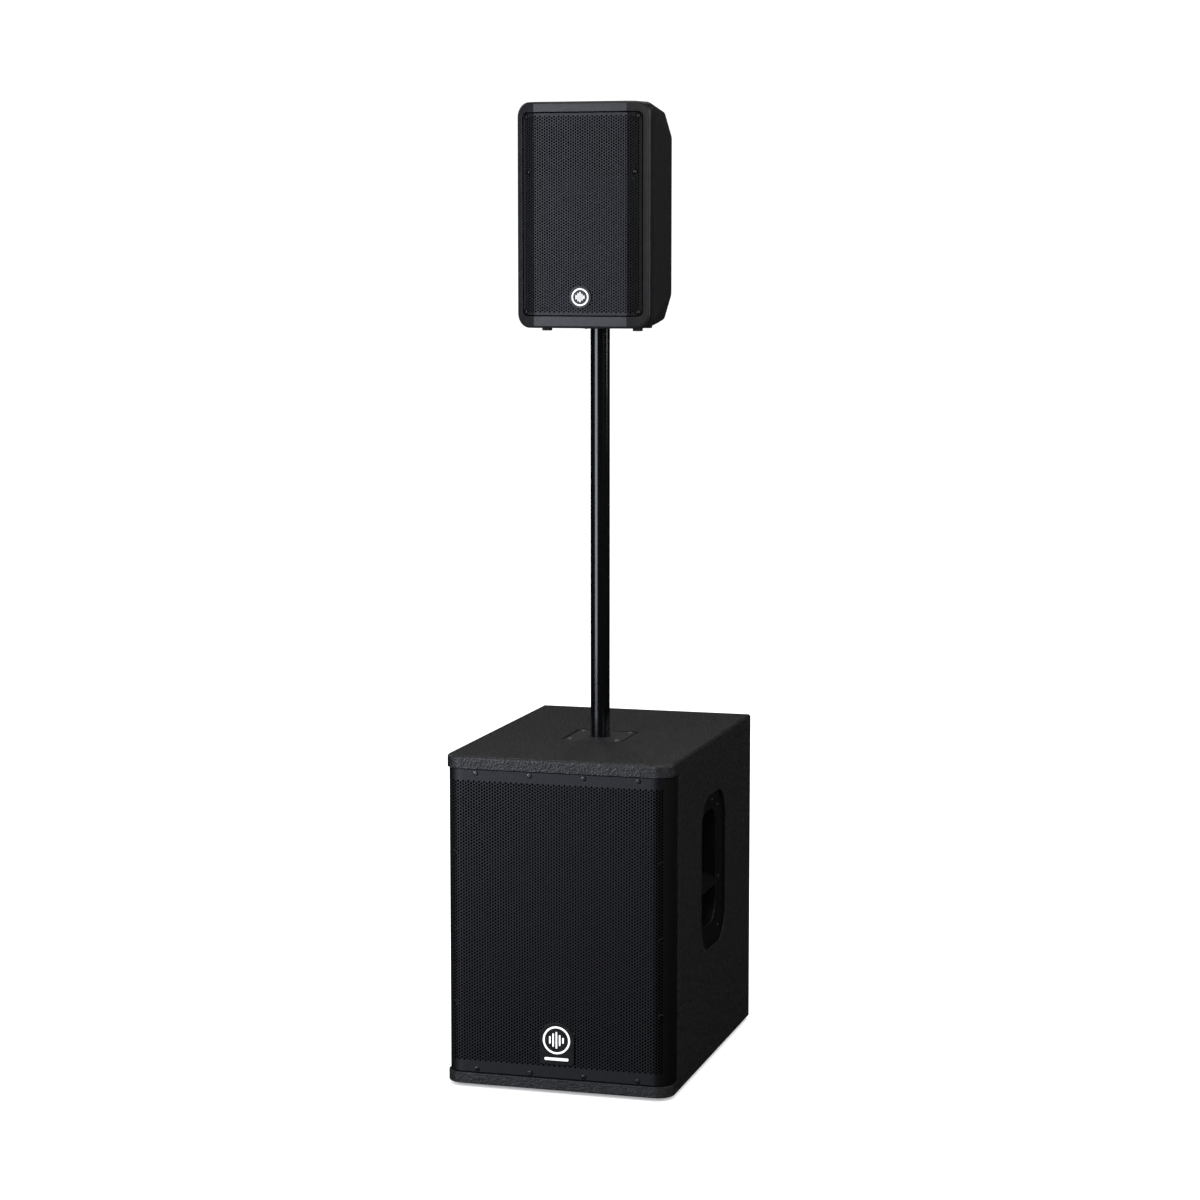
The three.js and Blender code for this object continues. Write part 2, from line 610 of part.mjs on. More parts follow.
const pole = new THREE.Group();
pole.position.set(0, POLE_Y, SUB_Z1 - SUB_SOCKET_DEPTH);

function poleTube() {
  const length = SUB_SOCKET_DEPTH + POLE_VISIBLE + TOP_SOCKET_DEPTH;
  const inner = POLE_R - POLE_WALL;
  const capT = 4;
  const origin = [0, 0, 0];
  piece(pole, 'pole_tube', turned([
    [inner, capT + GAP], [POLE_R, capT + GAP], [POLE_R, length - capT - GAP], [inner, length - capT - GAP],
  ], 'z', origin), POLE_PAINT);
  const plug = (end, dir) => turned([
    [0, end], [POLE_R - 1, end], [POLE_R, end + dir], [POLE_R, end + dir * capT],
    [inner - GAP, end + dir * capT], [inner - GAP, end + dir * 20], [0, end + dir * 20],
  ], 'z', origin);
  piece(pole, 'pole_lower_cap', plug(0, 1), PLASTIC);
  piece(pole, 'pole_upper_cap', plug(length, -1), PLASTIC);
}

poleTube();

// ---- Two-way loudspeaker -----------------------------------------------------------------

const loudspeaker = new THREE.Group();
loudspeaker.position.set(0, POLE_Y, TOP_Z0);

const FRONT_CORNER_R = 25;
const SEAM_CORNER_R = 14;

// The enclosure's sections: [t, half width, bottom, top, corner radius, share of the rear corner].
const SECTIONS = [
  [-BOW, TOP_W / 2, 0, TOP_H, FRONT_CORNER_R, 0],
  [0, TOP_W / 2, 0, TOP_H, FRONT_CORNER_R, 0],
  [SEAM_T, 120.8, 0, TOP_H, SEAM_CORNER_R, 0],
  [212, 104.2, 3, 391, SEAM_CORNER_R, 1],
  [224, 101.2, 6, 387.5, SEAM_CORNER_R, 1],
  [TOP_D, 93.5, 14, 380, SEAM_CORNER_R, 1],
];

// The rear corner has two flats between the side and the top. Each point is measured inwards
// from the side and down from the top; the bottom corners are the same, upside down.
const REAR_CORNER = [
  [0, 56.4], [1.3, 47.8], [12.1, 11.5], [13.6, 8.8], [15.6, 6.9], [24.1, 1.8], [27.2, 0.5], [30.4, 0],
];

function sectionOutline(half, low, high, radius, share) {
  const last = REAR_CORNER.length - 1;
  const corner = REAR_CORNER.map(([fromSide, fromTop], i) => {
    const angle = (i / last) * Math.PI / 2;
    const arc = [1 - Math.cos(angle), 1 - Math.sin(angle)].map((part) => part * radius);
    return [arc[0] + (fromSide - arc[0]) * share, arc[1] + (fromTop - arc[1]) * share];
  });
  const back = [...corner].reverse();
  return [
    ...corner.map(([u, v]) => [half - u, high - v]),
    ...back.map(([u, v]) => [u - half, high - v]),
    ...corner.map(([u, v]) => [u - half, low + v]),
    ...back.map(([u, v]) => [half - u, low + v]),
  ].map(([x, z]) => new THREE.Vector2(x, z));
}

function enclosure(inset, from, to) {
  const stations = SECTIONS.map(([t, half, low, high, radius, share]) => ({
    y: TOP_T0 + Math.min(t, TOP_D - inset),
    points: sectionOutline(half - inset, low + inset, high - inset, radius, share),
  }));
  const room = box([-TOP_W, TOP_W], [TOP_T0 + from, TOP_T0 + to], [-10, TOP_H + 10]);
  return common(loft(stations), room);
}

// Everything behind the bowed front when it is moved back by `shift`.
function behindFront(shift) {
  const half = TOP_W / 2 + 1;
  const y = TOP_T0 + shift;
  const far = TOP_T0 + TOP_D + 50;
  const rise = BOW / (TOP_W / 2 - FOLD_X);
  return prism(polygon([
    [-half, y + rise], [-FOLD_X, y - BOW], [FOLD_X, y - BOW], [half, y + rise], [half, far], [-half, far],
  ]), 'z', [-20, TOP_H + 20]);
}

function bezelOpening(inset, t) {
  const x = BEZEL_X - inset;
  const shape = roundedRectangle([-x, x], [BEZEL_Z[0] + inset, BEZEL_Z[1] - inset], BEZEL_R - inset);
  return prism(shape, 'y', [TOP_T0 + t[0], TOP_T0 + t[1]]);
}

function topFront() {
  const body = common(enclosure(0, -BOW - 1, SEAM_T), behindFront(0));
  const floor = [TOP_T0 + FLOOR_T[0] - 1, TOP_T0 + SEAM_T];
  const front = cut(
    body,
    bezelOpening(0, [-BOW - 5, FLOOR_T[0]]),
    enclosure(SHELL_T, FLOOR_T[1], SEAM_T + 1),
    disc('y', [0, 0, TOP_WOOFER_Z], SMALL_WOOFER.basketR + 1.5, floor),
    prism(roundedRectangle([-90, 90], [HORN_Z - 48, HORN_Z + 48], 14), 'y', floor),
  );
  piece(loudspeaker, 'top_front_moulding', front, PLASTIC);

  const sheet = common(
    cut(behindFront(3), behindFront(3 + GRILLE_T)),
    bezelOpening(BEZEL_SEAM, [-BOW, FLOOR_T[0]]),
  );
  piece(loudspeaker, 'top_grille', sheet, METAL_BLACK);

  const face = TOP_T0 - BOW + 3 - GAP;
  const centre = [0, 0, TOP_BADGE_Z];
  const badge = joined(
    disc('y', centre, 20, [face - 1.6, face]),
    turned([[12.8, face - 2.4], [15.4, face - 2.4], [15.4, face - 1], [12.8, face - 1]], 'y', centre),
  );
  piece(loudspeaker, 'top_badge', badge, WHITE);
}

const TOP_HANDLE = { x: 62, y: 34, depth: 38, bar: 11, barT: 17, wall: 3 };

function topShell() {
  const { w, h, z } = TOP_PANEL;
  const { x, y, wall, depth } = TOP_HANDLE;
  const gap = wall + GAP;
  const rear = TOP_T0 + TOP_D;
  const shell = cut(
    enclosure(0, SEAM_T + GAP, TOP_D + 1),
    enclosure(SHELL_T, SEAM_T - 1, TOP_D - SHELL_T),
    box([-w / 2 - GAP, w / 2 + GAP], [rear - 20, rear + 1], [z - h / 2 - GAP, z + h / 2 + GAP]),
    box([-x - gap, x + gap], [-y - gap, y + gap], [TOP_H - depth, TOP_H + 1]),
    disc('z', [0, 0, 0], TOP_SOCKET_NECK_R + GAP, [-5, 30]),
  );
  piece(loudspeaker, 'top_rear_shell', shell, PLASTIC);
}

function topHandle() {
  const { x, y, depth, bar, barT, wall } = TOP_HANDLE;
  const [floor, roof] = [TOP_H - depth, TOP_H + 5];
  const cup = cut(
    box([-x - wall, x + wall], [-y - wall, y + wall], [floor - wall, roof]),
    box([-x, x], [-y, y], [floor, roof + 1]),
  );
  const grip = box([-x - 1, x + 1], [-bar, bar], [TOP_H - barT, roof]);
  piece(loudspeaker, 'top_handle', common(joined(cup, grip), enclosure(0, SEAM_T + 5, TOP_D)), PLASTIC);
}

function topSocket() {
  const flangeR = TOP_SOCKET_FLANGE_R;
  const neckR = TOP_SOCKET_NECK_R;
  const reach = TOP_SOCKET_DEPTH + GAP;
  const body = turned([
    [0, -3], [flangeR, -3], [flangeR, -1], [neckR, -1], [neckR, 22], [SOCKET_R, 22],
    [SOCKET_R, reach + 4], [0, reach + 4],
  ], 'z', [0, 0, 0]);
  piece(loudspeaker, 'top_pole_socket', cut(body, disc('z', [0, 0, 0], BORE_R, [-6, reach])), PLASTIC);
}

function horn() {
  const mouthY = TOP_T0 + FLOOR_T[0];
  const throatR = 12.7;
  const section = (depth, share) => {
    const halfW = throatR + (84 - throatR) * share;
    const halfH = throatR + (42 - throatR) * share;
    const r = throatR + (10 - throatR) * share;
    return { depth, halfW, halfH, r };
  };
  const flare = [
    section(-6, 1), section(2, 0.98), section(18, 0.72), section(38, 0.42), section(60, 0.18),
    section(HORN_DEPTH, 0),
  ];
  const body = (grow) => loft(flare.map(({ depth, halfW, halfH, r }) => ({
    y: mouthY + depth,
    points: outline(halfW + grow, [HORN_Z - halfH - grow, HORN_Z + halfH + grow], r + grow * 0.99, 4),
  })));
  const flange = prism(
    roundedRectangle([-HORN_W / 2, HORN_W / 2], [HORN_Z - HORN_H / 2, HORN_Z + HORN_H / 2], 12),
    'y', [mouthY - 3.3, mouthY - GAP], 3);
  const room = box(
    [-HORN_W, HORN_W], [mouthY - 3.3, mouthY + HORN_DEPTH - 0.5], [HORN_Z - HORN_H, HORN_Z + HORN_H],
  );
  const made = cut(joined(flange, common(body(3), room)), body(0));
  piece(loudspeaker, 'top_horn', made, PLASTIC);

  const back = mouthY + HORN_DEPTH;
  const driver = turned([
    [0, back], [24, back], [24, back + 8], [42, back + 12], [42, back + 34], [38, back + 42],
    [0, back + 42],
  ], 'y', [0, 0, HORN_Z]);
  piece(loudspeaker, 'top_compression_driver', driver, STEEL);
}

function topRear() {
  const { w, h, z, t } = TOP_PANEL;
  const face = TOP_T0 + TOP_D;
  const y = face - t;
  const at = {
    knobOne: [42, z - 22], knobTwo: [8, z - 22], contour: [-26, z - 22],
    comboOne: [42, z - 58], comboTwo: [8, z - 58], output: [-28, z - 58],
    power: [42, z - 90], inlet: [-4, z - 92],
  };
  const fins = Array.from({ length: 9 }, (_, i) => {
    const x = -60 + i * 15;
    return box([x - FIN_T / 2, x + FIN_T / 2], [face - 1, face + 8], [z + 12, z + h / 2 - 8]);
  });
  const plate = cut(
    joined(box([-w / 2, w / 2], [y, face], [z - h / 2, z + h / 2]), ...fins),
    knobHole(at.knobOne[0], y, at.knobOne[1]),
    knobHole(at.knobTwo[0], y, at.knobTwo[1]),
    sliderHole(at.contour[0], y, at.contour[1]),
    jackHole(at.comboOne[0], y, at.comboOne[1]),
    jackHole(at.comboTwo[0], y, at.comboTwo[1]),
    jackHole(at.output[0], y, at.output[1]),
    rockerHole(at.power[0], y, at.power[1]),
    inletHole(at.inlet[0], y, at.inlet[1]),
  );
  piece(loudspeaker, 'top_amp_panel', plate, METAL_BLACK);

  const boardY = y - TOP_BOARD.behind;
  const board = joined(
    box(
      [-TOP_BOARD.w / 2, TOP_BOARD.w / 2], [boardY - TOP_BOARD.t, boardY],
      [z - TOP_BOARD.h / 2, z + TOP_BOARD.h / 2],
    ),
    disc('y', [-25, 0, z + 40], 30, [boardY - 30, boardY - 1]),
  );
  piece(loudspeaker, 'top_amp_board', board, BOARD);

  piece(loudspeaker, 'top_level_knob_1', knob(at.knobOne[0], face, at.knobOne[1], 7, 12), PLASTIC);
  piece(loudspeaker, 'top_level_knob_2', knob(at.knobTwo[0], face, at.knobTwo[1], 7, 12), PLASTIC);
  piece(loudspeaker, 'top_contour_switch', slider(at.contour[0], face, at.contour[1]), PLASTIC);
  piece(loudspeaker, 'top_power_switch', rocker(at.power[0], face, at.power[1]), PLASTIC);
  piece(loudspeaker, 'top_input_jack_1', jack(at.comboOne[0], face, at.comboOne[1]), METAL_BLACK);
  piece(loudspeaker, 'top_input_jack_2', jack(at.comboTwo[0], face, at.comboTwo[1]), METAL_BLACK);
  piece(loudspeaker, 'top_xlr_output', jack(at.output[0], face, at.output[1]), METAL_BLACK);
  piece(loudspeaker, 'top_mains_inlet', mainsInlet(at.inlet[0], face, at.inlet[1]), PLASTIC);
}

topFront();
topShell();
topHandle();
topSocket();
horn();
wooferPieces(loudspeaker, 'top', SMALL_WOOFER, TOP_T0 + FLOOR_T[0], TOP_WOOFER_Z);
topRear();

const stack = new THREE.Group();
stack.add(subwoofer, pole, loudspeaker);

export default stack;
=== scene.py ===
"""A powered loudspeaker on a pole that stands in a powered subwoofer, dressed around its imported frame."""

import math

import bmesh
import bpy
import numpy as np
from mathutils import Matrix, Vector


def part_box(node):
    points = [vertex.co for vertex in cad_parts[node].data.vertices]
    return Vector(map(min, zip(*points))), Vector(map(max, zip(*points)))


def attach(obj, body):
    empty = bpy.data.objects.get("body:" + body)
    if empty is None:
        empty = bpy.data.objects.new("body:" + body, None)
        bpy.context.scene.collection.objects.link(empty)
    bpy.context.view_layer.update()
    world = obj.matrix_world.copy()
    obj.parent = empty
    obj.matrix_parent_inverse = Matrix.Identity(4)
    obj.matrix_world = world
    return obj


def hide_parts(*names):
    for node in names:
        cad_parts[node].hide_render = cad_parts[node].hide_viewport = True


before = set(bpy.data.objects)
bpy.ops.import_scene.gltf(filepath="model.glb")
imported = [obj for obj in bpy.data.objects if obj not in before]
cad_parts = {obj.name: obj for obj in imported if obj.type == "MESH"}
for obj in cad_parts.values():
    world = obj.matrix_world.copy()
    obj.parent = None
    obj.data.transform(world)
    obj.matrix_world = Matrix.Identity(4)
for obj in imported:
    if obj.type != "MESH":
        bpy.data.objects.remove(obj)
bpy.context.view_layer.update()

SUB = "subwoofer"
TOP = "loudspeaker"
MM = 0.001  # shapes are made in millimetres, in the CAD's frame; piece() brings them to metres
SIDES = (("left", -1), ("right", 1))

# ---- Camera, as seen from a little right of the front and above ------------------------------

CAMERA_AT = (1.48018, -5.17504, 1.48221)
CAMERA_YAW = 0.279737
CAMERA_PITCH = 0.118693
LENS = 89.306
SENSOR = 36.0


# ---- Reading the frame ----------------------------------------------------------------------


class Box:
    """The box of a CAD node: its corners, its limits on each axis, its middle and half width."""

    def __init__(self, node):
        self.low, self.high = (np.array(corner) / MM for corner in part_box(node))
        self.x, self.y, self.z = zip(self.low, self.high)
        self.middle = (self.low + self.high) / 2
        self.half = (self.high[0] - self.low[0]) / 2


def on_axis(node, y=0.0):
    """The point at y on the line along Y through a node's middle."""
    x, _, z = Box(node).middle
    return np.array([x, y, z])


def grown(limits, by):
    return limits[0] - by, limits[1] + by


POLE = Box("pole_tube")
POLE_X, POLE_Y, _ = POLE.middle

# ---- Outlines: closed rows of points (u, v) ---------------------------------------------------


def rectangle(u, v):
    return [(u[0], v[0]), (u[1], v[0]), (u[1], v[1]), (u[0], v[1])]


def fillet(points, radii, steps=6):
    """A closed outline with its corners rounded. A radius of 0 keeps a corner sharp."""
    corners = [np.array(p, float) for p in points]
    if np.isscalar(radii):
        radii = [radii] * len(corners)
    out = []
    for i, (corner, radius) in enumerate(zip(corners, radii)):
        a = corners[i - 1] - corner
        b = corners[(i + 1) % len(corners)] - corner
        length_a, length_b = np.linalg.norm(a), np.linalg.norm(b)
        a, b = a / length_a, b / length_b
        angle = math.acos(max(-1.0, min(1.0, float(a @ b))))
        if radius <= 0 or angle > math.radians(176):
            out.append(corner)
            continue
        reach = min(radius / math.tan(angle / 2), 0.499 * length_a, 0.499 * length_b)
        radius = reach * math.tan(angle / 2)
        centre = corner + (a + b) / np.linalg.norm(a + b) * radius / math.sin(angle / 2)
        start, end = corner + a * reach - centre, corner + b * reach - centre
        sweep = math.copysign(math.pi - angle, start[0] * end[1] - start[1] * end[0])
        for k in range(steps + 1):
            turn = sweep * k / steps
            c, s = math.cos(turn), math.sin(turn)
            out.append(centre + (start[0] * c - start[1] * s, start[0] * s + start[1] * c))
    return np.array(out)


def anticlockwise(outline):
    p = np.asarray(outline, float)
    after = np.roll(p, -1, 0)
    area = (p[:, 0] * after[:, 1] - p[:, 1] * after[:, 0]).sum()
    return p if area > 0 else p[::-1]


def inset(outline, distance):
    """An anticlockwise outline moved inwards by a distance, or by one distance for each point."""
    p = np.asarray(outline, float)

    def inwards(d):
        n = np.stack([-d[:, 1], d[:, 0]], 1)
        return n / np.linalg.norm(n, axis=1, keepdims=True)

    a, b = inwards(p - np.roll(p, 1, 0)), inwards(np.roll(p, -1, 0) - p)
    mitre = (a + b) / (1 + (a * b).sum(1))[:, None]
    return p + mitre * np.reshape(distance, (-1, 1))


# ---- Shapes: (vertices, faces), each one or more closed surfaces --------------------------------


def lay(outline, w, axis):
    """Points (u, v) at w along the axis, as (x, y, z)."""
    u, v = outline[:, 0], outline[:, 1]
    w = np.full(len(u), w, float) if np.isscalar(w) else np.asarray(w, float)
    order = {"x": (w, u, v), "y": (u, w, v), "z": (u, v, w)}
    return np.stack(order[axis], 1)


def together(*shapes):
    vertices, faces, count = [], [], 0
    for v, f in shapes:
        vertices.append(np.asarray(v, float))
        faces += [tuple(i + count for i in face) for face in f]
        count += len(v)
    return np.concatenate(vertices), faces


def skin(rows, loop=False):
    """A surface through rings with equal numbers of points, closed by caps, or by its first row."""
    count = len(rows[0])
    faces = []
    for s in list(range(len(rows) - 1)) + ([-1] if loop else []):
        a, b = (s % len(rows)) * count, ((s + 1) % len(rows)) * count
        for i in range(count):
            j = (i + 1) % count
            faces.append((a + i, a + j, b + j, b + i))
    if not loop:
        faces.append(tuple(reversed(range(count))))
        last = (len(rows) - 1) * count
        faces.append(tuple(range(last, last + count)))
    return np.concatenate(rows), faces


def slab(outline, axis, limits, rims=(0, 0), steps=3, share=1.0):
    """A solid across an axis with its rims rounded; share scales the high one at each point."""
    outline = anticlockwise(outline)
    rows = []
    for radius, end, sign, scale in ((rims[0], limits[0], 1, 1.0), (rims[1], limits[1], -1, share)):
        turns = [math.pi / 2 * k / steps for k in (range(steps + 1) if radius > 0 else [steps])]
        for a in turns[::sign]:
            inwards, along = radius * (1 - math.sin(a)), radius * (1 - math.cos(a))
            rows.append(lay(inset(outline, inwards * scale), end + sign * along, axis))
    return skin(rows)


def plate(u, v, w, corner=0, rims=(0, 0), turns=6, steps=3, axis="y"):
    """A plate across an axis, from its limits, with its corners and rims rounded."""
    return slab(fillet(rectangle(u, v), corner, turns), axis, w, rims, steps)


def block(x, y, z, edge=0):
    """A box with all its edges rounded."""
    return plate(x, y, z, edge, (edge, edge), 3, 2, "z")


def lathe(profile, axis, centre, segments=64):
    """A round solid from a closed profile of (radius, distance along the axis)."""
    angle = np.arange(segments) * 2 * math.pi / segments
    centre = np.asarray(centre, float)
    vertices, rings = [], []
    for r, a in profile:
        around = np.array([(0.0, 0.0)]) if r < 1e-6 else np.stack([np.cos(angle), np.sin(angle)], 1) * r
        rings.append((len(vertices), len(around)))
        vertices += list(lay(around, a, axis) + centre)
    faces = []
    for k, (start, count) in enumerate(rings):
        after, other = rings[(k + 1) % len(rings)]
        for i in range(segments):
            j = (i + 1) % segments
            if count > 1 and other > 1:
                faces.append((start + i, start + j, after + j, after + i))
            elif count > 1:
                faces.append((start + i, start + j, after))
            elif other > 1:
                faces.append((start, after + j, after + i))
    return np.array(vertices), faces


def rod(radius, limits, axis, at, segments, dome=0, steps=3):
    """A round rod, with the edge of its high end rounded by the dome's radius."""
    return lathe(fillet(rectangle((0, radius), limits), [0, 0, dome, 0], steps), axis, at, segments)


def closed_mesh(name, vertices, faces):
    """A mesh with all its faces turned outwards."""
    mesh = bpy.data.meshes.new(name)
    mesh.from_pydata(np.asarray(vertices).tolist(), [], faces)
    bm = bmesh.new()
    bm.from_mesh(mesh)
    bmesh.ops.recalc_face_normals(bm, faces=bm.faces)
    bm.to_mesh(mesh)
    bm.free()
    return mesh


def linked(name, data):
    obj = bpy.data.objects.new(name, data)
    bpy.context.scene.collection.objects.link(obj)
    return obj


def boolean(shape, tool, operation):
    target, cutter = (linked("shape", closed_mesh("shape", *part)) for part in (shape, tool))
    change = target.modifiers.new("cut", "BOOLEAN")
    change.operation = operation
    change.object = cutter
    change.solver = "EXACT"
    graph = bpy.context.evaluated_depsgraph_get()
    made = bpy.data.meshes.new_from_object(target.evaluated_get(graph))
    vertices = np.zeros(len(made.vertices) * 3)
    made.vertices.foreach_get("co", vertices)
    faces = [tuple(p.vertices) for p in made.polygons]
    for mesh in (target.data, cutter.data, made):
        bpy.data.meshes.remove(mesh)
    return vertices.reshape(-1, 3), faces


def cut(shape, *tools):
    for tool in tools:
        shape = boolean(shape, tool, "DIFFERENCE")
    return shape


SHARP = math.radians(35)


def eased(shape, width, chosen):
    """The shape with its sharp edges rounded where both ends are chosen."""
    bm = bmesh.new()
    made = [bm.verts.new(v) for v in shape[0]]
    for face in shape[1]:
        bm.faces.new([made[i] for i in face])
    bmesh.ops.remove_doubles(bm, verts=bm.verts, dist=1e-4)
    bmesh.ops.recalc_face_normals(bm, faces=bm.faces)
    edges = [
        e for e in bm.edges
        if len(e.link_faces) == 2 and e.calc_face_angle() > SHARP and all(chosen(v.co) for v in e.verts)
    ]
    bmesh.ops.bevel(bm, geom=edges, offset=width, segments=3, profile=0.5, affect="EDGES",
                    clamp_overlap=True)
    bm.verts.index_update()
    vertices = np.array([v.co for v in bm.verts])
    faces = [tuple(v.index for v in f.verts) for f in bm.faces]
    bm.free()
    return vertices, faces


def placed(shape, at, facing, roll=0.0):
    """A shape made about the origin, facing +Z, put somewhere and turned to face a direction."""
    turn = Vector(facing).normalized().to_track_quat("Z", "Y").to_matrix() @ Matrix.Rotation(roll, 3, "Z")
    return shape[0] @ np.array(turn).T + np.array(at, float), shape[1]


# ---- Looks ------------------------------------------------------------------------------------


class Surface:
    """A material with one Principled shader and procedural colour, roughness and relief."""

    def __init__(self, name, colour, roughness, metallic=0.0, specular=0.5, coat=0.0):
        self.material = bpy.data.materials.new(name)
        self.material.use_nodes = True
        self.tree = self.material.node_tree
        self.shader = self.tree.nodes["Principled BSDF"]
        uniform = {"Base Color": (*colour, 1), "Roughness": roughness, "Metallic": metallic,
                   "Specular IOR Level": specular, "Coat Weight": coat}
        for socket, value in uniform.items():
            self.shader.inputs[socket].default_value = value
        self.place = self.tree.nodes.new("ShaderNodeTexCoord").outputs["Object"]
        self.relief = None

    def link(self, output, socket):
        self.tree.links.new(output, socket)
        return self

    def node(self, kind, **inputs):
        made = self.tree.nodes.new("ShaderNode" + kind)
        for name, value in inputs.items():
            socket = made.inputs[name.replace("_", " ")]
            if isinstance(value, bpy.types.NodeSocket):
                self.link(value, socket)
            else:
                socket.default_value = value
        return made

    def stretched(self, stretch):
        return self.node("Mapping", Vector=self.place, Scale=stretch).outputs["Vector"]

    def noise(self, size, detail=2.0, stretch=(1, 1, 1)):
        """Soft noise with features of about that size in millimetres."""
        made = self.node("TexNoise", Vector=self.stretched(stretch), Scale=1000 / size, Detail=detail)
        return made.outputs["Fac"]

    def grains(self, size):
        """Rounded grains of about that size in millimetres."""
        made = self.node("TexVoronoi", Vector=self.place, Scale=1000 / size)
        made.feature = "SMOOTH_F1"
        made.inputs["Smoothness"].default_value = 0.6
        return made.outputs["Distance"]

    def ridges(self, spacing, direction):
        """Even ridges along one axis, that far apart in millimetres."""
        made = self.node("TexWave", Vector=self.place, Scale=100 * math.pi / spacing)
        made.bands_direction = direction
        return made.outputs["Fac"]

    def ranged(self, value, low, high, to=(0, 1)):
        """A value from between two limits spread between two others."""
        made = self.node("MapRange", Value=value, From_Min=low, From_Max=high, To_Min=to[0], To_Max=to[1])
        return made.outputs["Result"]

    def colours(self, value, first, second):
        mix = self.tree.nodes.new("ShaderNodeMix")
        mix.data_type = "RGBA"
        self.link(value, mix.inputs[0])
        mix.inputs[6].default_value = (*first, 1)
        mix.inputs[7].default_value = (*second, 1)
        return self.link(mix.outputs[2], self.shader.inputs["Base Color"])

    def roughnesses(self, value, low, high):
        return self.link(self.ranged(value, 0.3, 0.7, (low, high)), self.shader.inputs["Roughness"])

    def bumps(self, value, depth, strength=1.0):
        """Relief of that depth in millimetres."""
        made = self.node("Bump", Height=value, Distance=depth * MM, Strength=strength)
        if self.relief is not None:
            self.link(self.relief, made.inputs["Normal"])
        self.relief = made.outputs["Normal"]
        return self.link(self.relief, self.shader.inputs["Normal"])


def grey(value, tint=1.0):
    return (value, value, value * tint)


def cabinet_paint():
    s = Surface("cabinet_paint", grey(0.01, 1.05), 0.6)
    s.colours(s.ranged(s.noise(9, 4), 0.35, 0.65), grey(0.007, 1.05), grey(0.013, 1.08))
    s.roughnesses(s.noise(5), 0.34, 0.5)
    return s.bumps(s.grains(3.4), 1.0, 0.75).bumps(s.noise(1.4, 3), 0.4, 0.6)


def moulded_plastic(name="moulded_plastic", value=0.009, roughness=(0.32, 0.42), specular=0.5):
    s = Surface(name, grey(value, 1.12), roughness[0], specular=specular)
    s.colours(s.ranged(s.noise(14, 3), 0.35, 0.65), grey(value * 0.85, 1.12), grey(value * 1.15, 1.12))
    s.roughnesses(s.noise(8), *roughness)
    return s.bumps(s.grains(0.7), 0.06, 0.6)


def grille_coating():
    s = Surface("grille_coating", grey(0.055, 1.02), 0.5, metallic=1.0)
    s.colours(s.ranged(s.noise(3, 3), 0.3, 0.7), grey(0.045, 1.04), grey(0.062, 1.04))
    s.roughnesses(s.noise(2), 0.46, 0.58)
    return s.bumps(s.noise(0.8), 0.08, 0.6)


def panel_coating():
    s = Surface("panel_coating", grey(0.014, 1.05), 0.5)
    s.colours(s.ranged(s.noise(6, 4), 0.35, 0.65), grey(0.011, 1.05), grey(0.017, 1.05))
    s.roughnesses(s.noise(3), 0.42, 0.58)
    return s.bumps(s.noise(0.7), 0.08, 0.6)


def pole_paint():
    s = Surface("pole_paint", grey(0.002, 1.1), 0.16, specular=0.55)
    s.colours(s.noise(9, 3), grey(0.0014, 1.1), grey(0.0028, 1.1))
    s.roughnesses(s.noise(6, 4, (1, 1, 0.12)), 0.13, 0.2)
    return s.bumps(s.noise(2.4), 0.02, 0.4)


def soft_rubber():
    s = Surface("soft_rubber", grey(0.008), 0.75, specular=0.4)
    s.colours(s.noise(4, 3), grey(0.006), grey(0.011))
    return s.bumps(s.noise(0.6, 3), 0.08, 0.7)


# Near-black rubber for the real rubber parts. The same look also paints shade on the dark rings in the handle
# and socket gaps, the handle grip, the phase plug and the grille screw washers.
def dark_rubber_and_painted_shade():
    s = Surface("dark_rubber_and_painted_shade", grey(0.002), 0.9, specular=0.1)
    s.colours(s.noise(3, 3), grey(0.0014), grey(0.003))
    return s.bumps(s.noise(0.8, 3), 0.08, 0.6)


def speaker_foam():
    s = Surface("speaker_foam", grey(0.001), 0.95, specular=0.02)
    s.colours(s.grains(1.0), grey(0.0004), grey(0.0012))
    return s.bumps(s.grains(1.2), 0.9, 0.9)


def cone_paper():
    s = Surface("cone_paper", grey(0.004, 1.1), 0.85, specular=0.15)
    s.colours(s.ranged(s.noise(2.5, 5), 0.3, 0.7), grey(0.003, 1.1), grey(0.006, 1.1))
    return s.bumps(s.noise(1.2, 5), 0.15, 0.8)


def spider_cloth():
    s = Surface("spider_cloth", (0.32, 0.19, 0.07), 0.85, specular=0.2)
    s.colours(s.noise(3, 4), (0.24, 0.13, 0.045), (0.4, 0.25, 0.1))
    return s.bumps(s.ridges(2.0, "X"), 0.15, 0.7).bumps(s.ridges(2.0, "Z"), 0.15, 0.7)


def plated_steel(name="plated_steel", value=0.45, roughness=(0.28, 0.42)):
    s = Surface(name, grey(value), roughness[0], metallic=1.0)
    s.colours(s.noise(7, 4), grey(value * 0.85), grey(value * 1.1))
    s.roughnesses(s.noise(1.5, 3, (1, 6, 1)), *roughness)
    return s.bumps(s.noise(0.7, 3), 0.02, 0.5)


def copper_winding():
    s = Surface("copper_winding", (0.62, 0.24, 0.1), 0.35, metallic=1.0)
    s.colours(s.noise(2, 3), (0.5, 0.18, 0.07), (0.7, 0.3, 0.14))
    return s.bumps(s.ridges(1.2, "Y"), 0.1, 0.8)


def circuit_lacquer():
    s = Surface("circuit_lacquer", (0.015, 0.1, 0.035), 0.4)
    tracks = s.node("TexBrick", Vector=s.stretched((1, 0, 1)), Scale=60.0).outputs["Fac"]
    s.colours(tracks, (0.012, 0.09, 0.03), (0.05, 0.2, 0.07))
    return s.bumps(tracks, 0.1, 0.5).bumps(s.noise(2), 0.05, 0.4)


